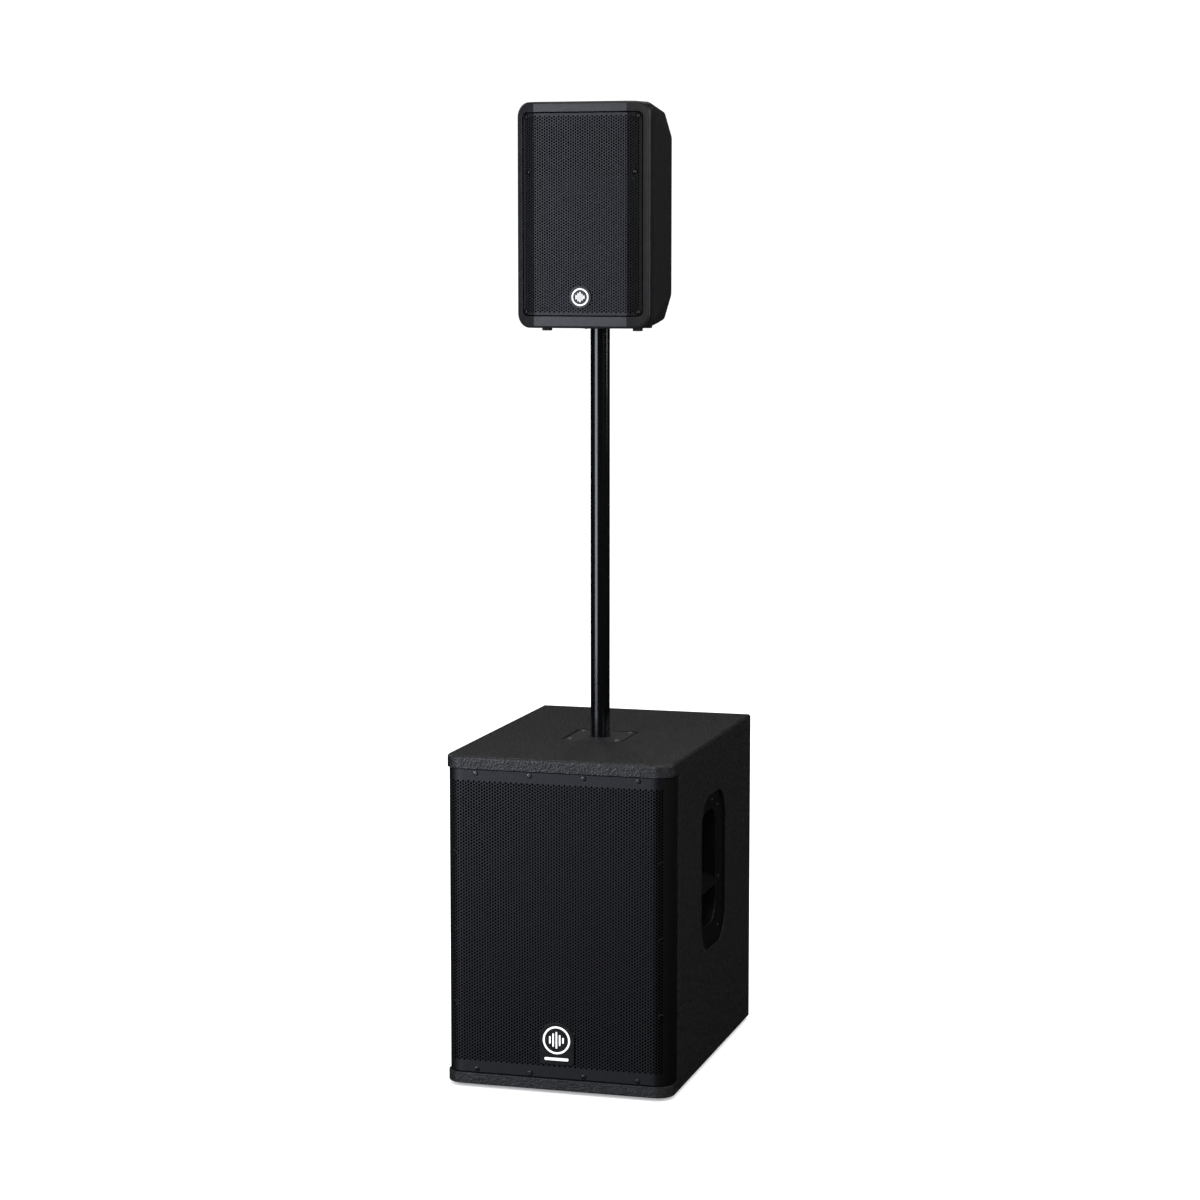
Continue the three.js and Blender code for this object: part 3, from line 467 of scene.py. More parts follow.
def bare_plywood():
    s = Surface("bare_plywood", (0.36, 0.22, 0.11), 0.7, specular=0.3)
    s.colours(s.noise(9, 6, (0.15, 1, 1)), (0.27, 0.15, 0.07), (0.46, 0.3, 0.16))
    return s.bumps(s.noise(3, 5, (0.1, 1, 1)), 0.15, 0.7)


def white_enamel():
    s = Surface("white_enamel", grey(0.82), 0.35)
    s.colours(s.noise(5, 3), grey(0.76), grey(0.86))
    return s.bumps(s.noise(1.0), 0.01, 0.4)


def pilot_lamp(name, colour):
    s = Surface(name, colour, 0.2, specular=0.6, coat=0.5)
    return s.colours(s.noise(2), tuple(c * 0.7 for c in colour), colour)


# Each look's surface, and the record's material slot that it stands for.
LOOKS = {
    "paint": (cabinet_paint(), "cabinet_paint"),
    "plastic": (moulded_plastic(), "black_plastic"),
    "control": (moulded_plastic("control_plastic", 0.02, (0.35, 0.45)), "black_plastic"),
    "gloss": (moulded_plastic("badge_plate", 0.004, (0.3, 0.4)), "black_plastic"),
    # A darker copy of the handle plastic for the handle cup: painted shade in the recess.
    "cup": (moulded_plastic("recess_shaded_plastic", 0.0015, (0.42, 0.55)), "black_plastic"),
    "shell": (moulded_plastic("shell_plastic", 0.0085, (0.58, 0.68), 0.2), "black_plastic"),
    # A darker copy of the black plastic for the horn, the front board and the woofer baskets behind the
    # grilles: painted shade behind the grille.
    "horn": (moulded_plastic("behind_grille_shaded_plastic", 0.0015, (0.6, 0.7), 0.2), "black_plastic"),
    # Near-black rubber, also used as painted shade in gaps and recesses.
    "dark_rubber_and_shade": (dark_rubber_and_painted_shade(), "soft_rubber"),
    "grille": (grille_coating(), "grille_steel"),
    "panel": (panel_coating(), "panel_metal"),
    "screw": (plated_steel("black_steel", 0.05, (0.3, 0.42)), "panel_metal"),
    "bright_screw": (plated_steel("grey_steel", 0.3, (0.3, 0.42)), "panel_metal"),
    "dark_screw": (plated_steel("dark_steel", 0.13, (0.22, 0.34)), "panel_metal"),
    "contact": (plated_steel("contact_plating", 0.55, (0.22, 0.32)), "panel_metal"),
    "pole": (pole_paint(), "pole_paint"),
    "rubber": (soft_rubber(), "soft_rubber"),
    "foam": (speaker_foam(), "grille_foam"),
    "paper": (cone_paper(), "cone_paper"),
    "cloth": (spider_cloth(), "spider_cloth"),
    "magnet": (plated_steel(), "magnet_steel"),
    "copper": (copper_winding(), "coil_copper"),
    "board": (circuit_lacquer(), "circuit_board"),
    "wood": (bare_plywood(), "bare_wood"),
    "white": (white_enamel(), "badge_white"),
    "green_lamp": (pilot_lamp("green_lamp", (0.05, 0.4, 0.08)), "black_plastic"),
    "red_lamp": (pilot_lamp("red_lamp", (0.4, 0.03, 0.02)), "black_plastic"),
}


def piece(name, shape, look, body, replaces=None, angle=38):
    """Makes a piece of the object, riding on a body, that stands for the CAD node in replaces."""
    surface, slot = LOOKS[look]
    mesh = closed_mesh(name, np.asarray(shape[0]) * MM, shape[1])
    mesh.shade_smooth()
    mesh.set_sharp_from_angle(angle=math.radians(angle))
    mesh.materials.append(surface.material)
    obj = linked(name, mesh)
    obj.modifiers.new("even", "WEIGHTED_NORMAL").keep_sharp = True
    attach(obj, body)
    if replaces:
        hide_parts(replaces)
    return obj


def dress(node, look):
    """Gives a CAD node that stays a material."""
    surface, slot_name = LOOKS[look]
    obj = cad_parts[node]
    obj.data.materials.clear()
    obj.data.materials.append(surface.material)
    for slot in obj.material_slots:
        slot.material = surface.material


# ---- Screws -----------------------------------------------------------------------------------


def screw_head(radius, height):
    """A pan-head screw with a cross recess, standing on the origin."""
    head = rod(radius, (-0.4, height), "z", (0, 0, 0), 20, height * 0.8, 5)
    arm, width = radius * 0.62, radius * 0.16
    half = [(-arm, -width), (-width, -width), (-width, -arm), (width, -arm), (width, -width), (arm, -width)]
    cross = np.array(half + [(-u, -v) for u, v in half])
    return cut(head, slab(cross, "z", (height * 0.4, height + 1)))


SCREW = screw_head(3.6, 1.5)
SMALL_SCREW = screw_head(2.4, 1.1)


def screws(name, places, body, head=SCREW, look="screw"):
    """Screws at (place, direction they face), each turned a little further than the last."""
    piece(name, together(*(
        placed(head, at, facing, 0.7 * i) for i, (at, facing) in enumerate(places)
    )), look, body)


# ---- Perforated sheets ------------------------------------------------------------------------

HOLE_SIDES = 8


def perforated(place, u, v, first, radius, thickness, holed):
    """A bent steel sheet with round holes in staggered columns, as a closed solid.

    place(u, depth) gives the (x, y) of a point of the flattened sheet; u are the column lines, v the
    row lines, two to each hole. Holes start from row line `first`, where holed(u, v) says so.
    """
    u, v = np.asarray(u, float), np.asarray(v, float)
    columns, rows = len(u), len(v)
    grid_u, grid_v = np.meshgrid(u, v, indexing="ij")
    flat = [np.stack([grid_u.ravel(), grid_v.ravel()], 1)]
    count = columns * rows
    faces, walls, taken = [], [], set()
    angle = np.arange(HOLE_SIDES) * 2 * math.pi / HOLE_SIDES
    round_hole = np.stack([np.cos(angle), np.sin(angle)], 1) * radius
    pitch = v[first + 2] - v[first]

    def corner(i, j):
        return i * rows + j

    for i in range(columns - 1):
        for j in range(first + i % 2, rows - 2, 2):
            centre = np.array([(u[i] + u[i + 1]) / 2, v[j + 1]])
            if abs(v[j + 2] - v[j] - pitch) > 1e-6 or not holed(*centre):
                continue
            taken.update(((i, j), (i, j + 1)))
            flat.append(round_hole + centre)
            h = [count + k for k in range(HOLE_SIDES)]
            count += HOLE_SIDES
            l0, l1, l2 = (corner(i, j + k) for k in range(3))
            r0, r1, r2 = (corner(i + 1, j + k) for k in range(3))
            faces += [
                (h[0], r1, r2, h[1]), (h[1], r2, h[2]), (h[2], r2, l2), (h[2], l2, h[3]),
                (h[3], l2, l1, h[4]), (h[4], l1, l0, h[5]), (h[5], l0, h[6]), (h[6], l0, r0),
                (h[6], r0, h[7]), (h[7], r0, r1, h[0]),
            ]
            walls += [(h[k], h[(k + 1) % HOLE_SIDES]) for k in range(HOLE_SIDES)]
    for i in range(columns - 1):
        for j in range(rows - 1):
            if (i, j) not in taken:
                faces.append((corner(i, j), corner(i + 1, j), corner(i + 1, j + 1), corner(i, j + 1)))
    walls += [(corner(i + 1, 0), corner(i, 0)) for i in range(columns - 1)]
    walls += [(corner(i, rows - 1), corner(i + 1, rows - 1)) for i in range(columns - 1)]
    walls += [(corner(0, j), corner(0, j + 1)) for j in range(rows - 1)]
    walls += [(corner(columns - 1, j + 1), corner(columns - 1, j)) for j in range(rows - 1)]
    flat = np.concatenate(flat)
    sides = []
    for depth in (0.0, thickness):
        x, y = place(flat[:, 0], depth)
        sides.append(np.stack([x, y, flat[:, 1]], 1))
    back = [tuple(n + count for n in reversed(face)) for face in faces]
    edge = [(b, a, a + count, b + count) for a, b in walls]
    return np.concatenate(sides), faces + back + edge


def lines(limits, step):
    """Evenly spaced lines between limits, about a step apart."""
    return np.linspace(*limits, max(1, round((limits[1] - limits[0]) / step)) + 1)


# ---- Subwoofer cabinet --------------------------------------------------------------------------

LIP_CORNER = 30
BACK_CORNER = 4
EDGE = 5.0
BASE_EDGE = 1.8
SOCKET_GAP = 2.0
SOCKET_INSET = 1.5

TOP_PANEL, BOTTOM_PANEL = Box("sub_top_panel"), Box("sub_bottom_panel")
HALF_W = TOP_PANEL.high[0]
FRONT, BACK = TOP_PANEL.y
INNER_X, SIDE_FRONT = Box("sub_side_panel_right").low[:2]
WALLS_Z = (BOTTOM_PANEL.high[2], TOP_PANEL.low[2])


def lip_outline():
    """The outline of the top and bottom, with points where the side panels start."""
    radii = [LIP_CORNER, LIP_CORNER, BACK_CORNER, BACK_CORNER]
    outline = anticlockwise(fillet(rectangle((-HALF_W, HALF_W), (FRONT, BACK)), radii, 14))
    stops = []
    for a, b in zip(outline, np.roll(outline, -1, 0)):
        stops.append(a)
        for y in sorted((SIDE_FRONT - 1.0, SIDE_FRONT), reverse=bool(b[1] < a[1])):
            if min(a[1], b[1]) < y < max(a[1], b[1]):
                stops.append(a + (b - a) * (y - a[1]) / (b[1] - a[1]))
    return np.array(stops)


def at_handle(p):
    return abs(abs(p[0]) - HALF_W) < 0.01 and HANDLE_Y[0] < p[1] < HANDLE_Y[1]


def cabinet():
    outline = lip_outline()
    flange = Box("sub_pole_socket")
    face = flange.high[2]
    pocket = plate(grown(flange.x, SOCKET_GAP), grown(flange.y, SOCKET_GAP), (face - 3.6, face + 5), axis="z")
    shaft = rod(23, (-40, 5), "z", (0, POLE_Y, TOP_PANEL.high[2] - 3), 48)
    lip = slab(outline, "z", TOP_PANEL.z, (0, EDGE), 4)
    piece("sub_top", cut(lip, pocket, shaft), "paint", SUB, "sub_top_panel")

    # The base's upper edge is rounded where it overhangs the grille, and flush under the sides.
    overhang = np.clip(SIDE_FRONT - outline[:, 1], 0, 1)
    base = slab(outline, "z", BOTTOM_PANEL.z, (BASE_EDGE, 1.2), 4, overhang)
    piece("sub_bottom", base, "paint", SUB, "sub_bottom_panel")

    for name, side in SIDES:
        plan = fillet(rectangle((INNER_X, HALF_W), (SIDE_FRONT, BACK)), [0, 1.0, BACK_CORNER, 0.8], 6)
        panel = cut(slab(plan * (side, 1), "z", WALLS_Z), *handle_pocket(side))
        piece(f"sub_side_{name}", eased(panel, 1.1, at_handle), "paint", SUB, f"sub_side_panel_{name}")

    board, amp = Box("sub_back_panel"), Box("sub_amp_panel")
    back = plate(board.x, WALLS_Z, board.y, rims=(0, 0.5), steps=2)
    window = plate(grown(amp.x, -12), grown(amp.z, -12), grown(board.y, 5))
    piece("sub_back", cut(back, window), "paint", SUB, "sub_back_panel")
    dress("sub_baffle", "wood")
    dress("sub_brace", "wood")
    dress("sub_port_duct", "plastic")


# ---- Subwoofer handles ------------------------------------------------------------------------

HANDLE = Box("sub_handle_right")
HANDLE_Y = grown(HANDLE.y, 1.5)
FLANGE_CORNER = 54
FLANGE_SINK = 6.5
FLANGE_T = 3.0
CAVITY_CORNER = 40
CAVITY_Y = (HANDLE.low[1] + 14, HANDLE.high[1] - 47)
CAVITY_Z = (HANDLE.low[2] + 39, HANDLE.high[2] - 29)
CUP_WALL = 3.0
GRIP = ((2, 106.5), (2, 110), (25, 127), (30, 124), (30, 100), (22, 100))  # depth, height in the handle
# Width of a near-black ring in the gap round each handle flange: painted shade in that gap.
SHADE_RING_W = 1.6


def flange_outline(grow=0.0):
    return fillet(rectangle(grown(HANDLE.y, grow), grown(HANDLE.z, grow)), FLANGE_CORNER + grow, 12)


def cavity_outline(grow=0.0):
    return fillet(rectangle(grown(CAVITY_Y, grow), grown(CAVITY_Z, grow)), CAVITY_CORNER + grow, 12)


def into_side(outline, side, depths, rims=(0, 0), steps=3):
    """A plate in one side of the cabinet, from its depths below the face; rims are outer, inner."""
    return slab(outline, "x", [side * (HALF_W - d) for d in depths][::-side], rims[::-side], steps)


def handle_pocket(side):
    return [into_side(flange_outline(0.4 + SHADE_RING_W), side, (-2, FLANGE_SINK + FLANGE_T + 0.3)),
            into_side(cavity_outline(CUP_WALL + 0.5), side, (2, 24))]


def at_cavity_rim(p):
    return abs(abs(p[0]) - HALF_W + FLANGE_SINK) < 0.02 and CAVITY_Y[0] - 1 < p[1] < CAVITY_Y[1] + 1


def handles():
    depth = HANDLE.high[0] - HANDLE.low[0] - CUP_WALL
    y, z = CAVITY_Y, CAVITY_Z
    for name, side in SIDES:
        flange = into_side(flange_outline(), side, (FLANGE_SINK, FLANGE_SINK + FLANGE_T), (1.0, 0))
        cup = into_side(cavity_outline(CUP_WALL), side, (FLANGE_SINK + 1, depth + CUP_WALL), (0, 5))
        hollow = into_side(cavity_outline(), side, (FLANGE_SINK - 2, depth), (0, 6), 4)
        body = eased(cut(boolean(flange, cup, "UNION"), hollow), 1.6, at_cavity_rim)
        # The cup takes the darker copy of the plastic: painted shade in the recess.
        piece(f"sub_handle_cup_{name}", body, "cup", SUB, f"sub_handle_{name}")
        # The grip bar gets the near-black look, darker than the handle's plastic: painted shade in the handle
        # recess.
        profile = [(side * (HALF_W - inwards), HANDLE.low[2] + up) for inwards, up in GRIP]
        grip = slab(fillet(profile, [1.2, 1.5, 3, 3, 3, 6], 4), "y", grown(y, 1))
        piece(f"sub_handle_grip_{name}", grip, "dark_rubber_and_shade", SUB)
        # A near-black ring round the flange, in the pocket's gap: painted shade on the pocket's wall.
        dark_rubber_and_shade = cut(
            into_side(flange_outline(0.3 + SHADE_RING_W), side, (0.8, FLANGE_SINK + FLANGE_T), (0.5, 0)),
            into_side(flange_outline(0.3), side, (-2, FLANGE_SINK + FLANGE_T + 3)))
        piece(f"sub_handle_shade_ring_{name}", dark_rubber_and_shade, "dark_rubber_and_shade", SUB)
        face = side * (HALF_W - FLANGE_SINK)
        spots = [
            (y[1] + 9, z[1] + 0.5), (y[1] + 20, (z[0] + z[1]) / 2 - 31), (y[1] + 15, z[0] - 15),
            (y[0] + 14, z[0] - 22), (y[0] + 14, z[1] + 15), (y[1] - 34, z[1] + 17),
        ]
        places = [((face, a, b), (side, 0, 0)) for a, b in spots]
        screws(f"sub_handle_screws_{name}", places, SUB, SMALL_SCREW, "bright_screw")


# ---- Subwoofer grille, foam and badges ----------------------------------------------------------

GRILLE = Box("sub_grille")
GRILLE_CORNER = 31
GRILLE_T = 1.5
GRILLE_FLAT = GRILLE.high[0] - GRILLE_CORNER
GRILLE_TURN = GRILLE_CORNER * math.pi / 2
HOLES_Z = (GRILLE.low[2] + 19, GRILLE.high[2] - 18)
HOLE_PITCH = 5.67
COLUMN_STEP = 4.9
HOLE_R = 2.18
HOLED_TURN = 19.0
FRONT_SCREW_X = (-147.6, -49.2, 49.2, 147.6)
SIDE_SCREW_U = GRILLE_FLAT + 15.4
SIDE_SCREW_Z = (152, 287, 421.6)


def grille_place(u, depth):
    """Where a point of the flattened grille is, after its ends are bent back round the corners."""
    across = np.abs(u)
    turn = np.clip((across - GRILLE_FLAT) / GRILLE_CORNER, 0, math.pi / 2)
    beyond = np.maximum(across - GRILLE_FLAT - GRILLE_TURN, 0)
    r = GRILLE_CORNER - depth
    x = np.where(across < GRILLE_FLAT, across, GRILLE_FLAT + r * np.sin(turn))
    y = GRILLE.low[1] + GRILLE_CORNER - r * np.cos(turn) + beyond
    return np.sign(u) * x, y


def sub_grille():
    half_rows = np.linspace(*HOLES_Z, 2 * round((HOLES_Z[1] - HOLES_Z[0]) / HOLE_PITCH) + 1)
    bottom, top = GRILLE.z
    v = np.concatenate([[bottom, bottom + 8], half_rows, [top - 8, top]])
    reach = GRILLE_FLAT + HOLED_TURN
    end = GRILLE_FLAT + GRILLE_TURN + (GRILLE.high[1] - GRILLE.low[1] - GRILLE_CORNER)
    rest = lines((reach, end), COLUMN_STEP)[1:]
    u = np.concatenate([-rest[::-1], lines((-reach, reach), COLUMN_STEP), rest])
    badge = Box("sub_badge")
    fixings = [(side * SIDE_SCREW_U, z) for side in (-1, 1) for z in SIDE_SCREW_Z]

    def holed(a, b):
        behind_badge = abs(a) < badge.high[0] - 2 and badge.low[2] + 2 < b < badge.high[2] - 14
        at_screw = any(math.hypot(a - x, b - z) < 5.2 for x, z in fixings)
        return abs(a) < reach and not behind_badge and not at_screw

    sheet = perforated(grille_place, u, v, 2, HOLE_R, GRILLE_T, holed)
    piece("sub_grille_sheet", sheet, "grille", SUB, "sub_grille", 30)

    front = [((x, GRILLE.low[1], z), (0, -1, 0)) for z in (top - 5.7, bottom + 5.4) for x in FRONT_SCREW_X]
    screws("sub_grille_screws", front, SUB, screw_head(4.3, 2.2), "dark_screw")
    sides = []
    for across, z in fixings:
        x, y = grille_place(np.array([across]), 0.0)
        turn = (abs(across) - GRILLE_FLAT) / GRILLE_CORNER
        facing = (math.copysign(math.sin(turn), across), -math.cos(turn), 0)
        sides.append(((float(x[0]), float(y[0]), z), facing))
    screws("sub_grille_side_screws", sides, SUB, screw_head(3.3, 1.5), "screw")


def sub_foam():
    foam = Box("sub_grille_foam")
    gap, thickness = foam.low[1] - GRILLE.low[1] + 1.2, foam.high[1] - foam.low[1]
    reach = GRILLE_FLAT + 30
    rng = np.random.default_rng(3)

    def place(u, depth):
        wobble = rng.normal(0, 0.12, len(u))
        return grille_place(u, gap + depth + (wobble if depth == 0 else 0))

    def unholed(a, b):
        return False

    u, v = lines((-reach, reach), 8), lines(grown(foam.z, 1.8), 8)
    sheet = perforated(place, u, v, 0, 1, thickness, unholed)
    piece("sub_foam", sheet, "foam", SUB, "sub_grille_foam", 60)


def bars_mark(centre, height, y):
    """A plain sign of five upright bars, as on a level display."""
    step = height * 0.2
    width = step * 0.5
    made = []
    for i, share in enumerate((0.45, 0.8, 1.0, 0.65, 0.35)):
        x = centre[0] + (i - 2) * step
        half = height * share / 2
        made.append(plate((x - width / 2, x + width / 2), (centre[2] - half, centre[2] + half), (y, y + 0.9),
                          width * 0.45, (0.15, 0), 4, 2))
    return together(*made)


def ring(centre, radii, limits):
    """A flat ring about an axis along Y."""
    return lathe(fillet(rectangle(radii, limits), [0.4, 0.4, 0, 0], 3), "y", (centre[0], 0, centre[2]), 72)


def badges():
    box = Box("sub_badge")
    centre = (0.0, 0.0, box.high[2] - box.high[0] + 1)
    front, face = box.low[1], box.low[1] + 0.8
    upper = box.high[0] - 1
    piece("sub_badge_plate", plate(box.x, box.z, (face, box.high[1]), [5, 5, upper, upper], (0.6, 0), 14),
          "gloss", SUB, "sub_badge")
    mark = together(
        ring(centre, (21.5, 25), (front + 0.1, face + 0.3)),
        bars_mark(centre, 30, front + 0.2),
        plate((-22, 22), (centre[2] - 36.5, centre[2] - 31.5), (front + 0.2, face + 0.3), 2, (0.15, 0), 4, 2),
    )
    piece("sub_badge_mark", mark, "white", SUB)

    box = Box("top_badge")
    centre = box.middle
    front, face = box.low[1], box.low[1] + 0.8
    profile = fillet(rectangle((0, box.half), (face, box.high[1])), [0, 0.6, 0, 0], 3)
    piece("top_badge_plate", lathe(profile, "y", centre * (1, 0, 1), 72), "gloss", TOP, "top_badge")
    mark = together(ring(centre, (12.8, 15.4), (front + 0.1, face + 0.3)), bars_mark(centre, 18, front + 0.2))
    piece("top_badge_mark", mark, "white", TOP)


# ---- Pole socket, pole and feet -----------------------------------------------------------------


def sub_socket():
    box = Box("sub_pole_socket")
    bottom, top = box.z
    centre = (POLE_X, POLE_Y, 0)
    bore, cup, reach = 18.0, 22.0, 43.7

    def square(grow, corner, limits, rims=(0, 0)):
        return plate(grown(box.x, grow), grown(box.y, grow), limits, corner, rims, axis="z")

    flange = square(-SOCKET_INSET, 4, (top - 3, top), (0, 0.7))
    sleeve = rod(cup, (bottom, top - 2), "z", centre, 64)
    hole = lathe([(0, bottom + 3.7), (bore, bottom + 3.7), (bore, top - 1.2), (bore + 1.4, top + 0.2),
                  (bore + 1.4, top + 4), (0, top + 4)], "z", centre, 64)
    piece("sub_socket", cut(boolean(flange, sleeve, "UNION"), hole), "panel", SUB, "sub_pole_socket")
    # A near-black ring filling the gap round the socket's flange: painted shade in that gap.
    shade_gap_ring = cut(square(SOCKET_GAP - 0.1, 1, (top - 3, top - 0.4), (0, 0.4)),
                 square(-SOCKET_INSET + 0.1, 4, (top - 5, top + 5)))
    piece("sub_socket_shade_gap_ring", shade_gap_ring, "dark_rubber_and_shade", SUB)
    places = [((POLE_X + x, POLE_Y + y, top), (0, 0, 1)) for x in (-reach, reach) for y in (-reach, reach)]
    screws("sub_socket_screws", places, SUB, SCREW, "bright_screw")


def pole_pieces():
    centre = (POLE_X, POLE_Y, 0)
    outer, inner = POLE.half, POLE.half - 2.0
    tube = fillet(rectangle((inner, outer), POLE.z), 0.5, 3)
    piece("pole_steel", lathe(tube, "z", centre, 96), "pole", "pole", "pole_tube")
    fit = inner - 0.3
    profile = [(0, 0), (outer - 1.2, 0), (outer, 1.2), (outer, 4), (fit, 4), (fit, 20), (0, 20)]
    for name, end, way in (("lower", 0, 1), ("upper", 1, -1)):
        tip = Box(f"pole_{name}_cap").z[end]
        plug = lathe([(r, tip + way * up) for r, up in profile], "z", centre, 64)
        piece(f"pole_{name}_plug", plug, "plastic", "pole", f"pole_{name}_cap")


def sub_feet():
    for name in ("front_left", "front_right", "back_left", "back_right"):
        foot = Box(f"sub_foot_{name}")
        r, top = foot.half, foot.high[2]
        profile = fillet(
            [(0, 1.6), (6, 1.6), (7.5, 0), (r - 3, 0), (r, top), (0, top)], [0, 0.4, 0.6, 1.4, 0.6, 0], 4)
        pad = lathe(profile, "z", foot.middle * (1, 1, 0), 56)
        piece(f"sub_pad_{name}", pad, "rubber", SUB, f"sub_foot_{name}")


# ---- Woofers ----------------------------------------------------------------------------------


def basket(prefix, body, at, flange_r, rear, bowl_r, rear_r, coil_r):
    """The pressed frame: a flange with eight bolts, and a bowl with six windows."""
    flange = lathe(fillet(
        [(bowl_r - 8, -2.8), (bowl_r - 6, -4.3), (flange_r, -4.3), (flange_r, -0.3), (bowl_r - 8, -0.3)],
        [0.3, 0.5, 1.4, 0.2, 0.2], 4), "y", at, 96)
    bowl = lathe([
        (bowl_r - 2.5, -1), (bowl_r, -1), (bowl_r, 12), (rear_r, rear - 4), (rear_r, rear),
        (coil_r + 8, rear), (coil_r + 8, rear - 4), (rear_r - 2.5, rear - 4), (bowl_r - 2.5, 12),
    ], "y", at, 72)
    for i in range(3):
        turn = Matrix.Rotation(math.radians(30 + 60 * i), 3, "Y")
        slot = block((-bowl_r, bowl_r), (16, rear - 12), (-coil_r * 0.45, coil_r * 0.45))
        bowl = cut(bowl, (slot[0] @ np.array(turn).T + at, slot[1]))
    # The basket takes the darker plastic copy: painted shade behind the grille.
    piece(f"{prefix}_basket", together(flange, bowl), "horn", body, f"{prefix}_woofer_frame")
    bolt_r = flange_r - 6
    places = [
        ((at[0] + bolt_r * math.cos(a), at[1] - 4.3, at[2] + bolt_r * math.sin(a)), (0, -1, 0))
        for a in (math.pi / 8 + k * math.pi / 4 for k in range(8))
    ]
    screws(f"{prefix}_woofer_bolts", places, body, SMALL_SCREW)


def cone(prefix, body, at, cone_r, coil_r, depth, apart):
    """The ribbed, slightly curved paper cone and its dust cap, in two pieces or in one."""
    slope = (depth - 3) / (cone_r - coil_r)
    radii = np.linspace(cone_r, coil_r + 1, 26)
    straight = 3 + (cone_r - radii) * slope
    curve = straight - 0.05 * depth * np.sin(np.linspace(0, math.pi, 26))
    ribs = 0.35 * (np.abs((np.linspace(0, 1, 26) * 5) % 1 - 0.5) < 0.12)
    front = [(r, a - b) for r, a, b in zip(radii, curve, ribs)]
    back = [(r, a + 1.4) for r, a in zip(radii, curve)]
    paper = lathe(front + back[::-1], "y", at, 96)

    cap_r, cap_angle = coil_r + 8, 1.25
    edge = depth - 8 * slope - (1.6 if apart else -0.2)
    rise = cap_r * 0.32 / (1 - math.cos(cap_angle))
    dome = [(cap_r * math.sin(t) / math.sin(cap_angle), edge - rise * (math.cos(t) - math.cos(cap_angle)))
            for t in np.linspace(0, cap_angle, 14)]
    cap = lathe(dome + [(r, a + 1.0) for r, a in reversed(dome)], "y", at, 96)
    if apart:
        piece(f"{prefix}_cone", paper, "paper", body, f"{prefix}_woofer_cone", 50)
        piece(f"{prefix}_cap", cap, "paper", body, f"{prefix}_woofer_dust_cap", 50)
    else:
        piece(f"{prefix}_cone", together(paper, cap), "paper", body, f"{prefix}_woofer_cone", 50)


def surround(prefix, body, at, ring_r, roll_r):
    """The half-round rubber roll between the cone and the basket."""
    def arc(r):
        angles = np.linspace(0, math.pi, 15)
        return [(ring_r + roll_r - r * math.cos(t), -4.8 - r * math.sin(t)) for t in angles]

    outer = ring_r + 2 * roll_r
    profile = arc(roll_r) + [(outer + 5, -4.8), (outer + 5, -4.6)] + arc(roll_r - 1.2)[::-1]
    profile += [(ring_r + 1.2, 3), (ring_r, 3)]
    piece(f"{prefix}_surround", lathe(profile, "y", at, 96), "dark_rubber_and_shade", body, f"{prefix}_woofer_surround", 50)


def motor(prefix, body, at, front, magnet_r, back, coil_r):
    """The magnet between its two steel plates, with the gap for the coil."""
    profile = fillet([
        (0, front - 3), (coil_r - 2, front - 3), (coil_r - 2, back - 10), (coil_r + 1.2, back - 10),
        (coil_r + 1.2, front), (magnet_r - 8, front), (magnet_r - 8, front + 8), (magnet_r, front + 8),
        (magnet_r, back - 8), (magnet_r - 8, back - 8), (magnet_r - 8, back), (0, back),
    ], [0, 1, 0, 0, 0, 1, 0, 1.5, 1.5, 0, 1.5, 0], 3)
    piece(f"{prefix}_motor", lathe(profile, "y", at, 96), "magnet", body, f"{prefix}_woofer_magnet")


def woofer(prefix, body, cone_body, coil_r, rear_r, cone_depth, bowl_r, roll_r, apart):
    """One woofer; its depths are from the front of the board that it's screwed to."""
    chassis, magnet = Box(f"{prefix}_woofer_frame"), Box(f"{prefix}_woofer_magnet")
    cone_r = Box(f"{prefix}_woofer_cone").half
    at = on_axis(f"{prefix}_woofer_frame", chassis.low[1] + 4.3)
    rear = chassis.high[1] - at[1]
    basket(prefix, body, at, chassis.half, rear, bowl_r, rear_r, coil_r)
    cone(prefix, cone_body, at, cone_r, coil_r, cone_depth, apart)
    surround(prefix, body, at, cone_r + 0.6, roll_r)
    motor(prefix, body, at, rear + 0.3, magnet.half, magnet.high[1] - at[1], coil_r)


def sub_motor_parts():
    centre = on_axis("sub_woofer_frame")
    spider = Box("sub_woofer_spider")
    inner, outer = 40.1, spider.half
    radii = np.linspace(inner, outer, 49)
    waves = 0.5 * np.sin((radii - inner) / (outer - inner) * 6 * 2 * math.pi)
    waves = waves * np.minimum(1, (outer - radii) / 4 + 0.1)
    front = [(r, spider.middle[1] + w * 0.8 - 0.3) for r, w in zip(radii, waves)]
    back = [(r, a + 0.6) for r, a in front]
    piece("sub_spider", lathe(front + back[::-1], "y", centre, 96), "cloth", SUB, "sub_woofer_spider", 50)
    coil = Box("sub_voice_coil")
    winding = lathe(rectangle((coil.half - 1, coil.half), coil.y), "y", centre, 96)
    piece("sub_coil", winding, "copper", "sub_cone_group", "sub_voice_coil")


# ---- Rear controls and connectors ----------------------------------------------------------------

KNOB_HEIGHT = 11
ROCKER_HALF = 11.4
ROCKER_TILT = math.radians(8)
SOCKET_R = 12.0


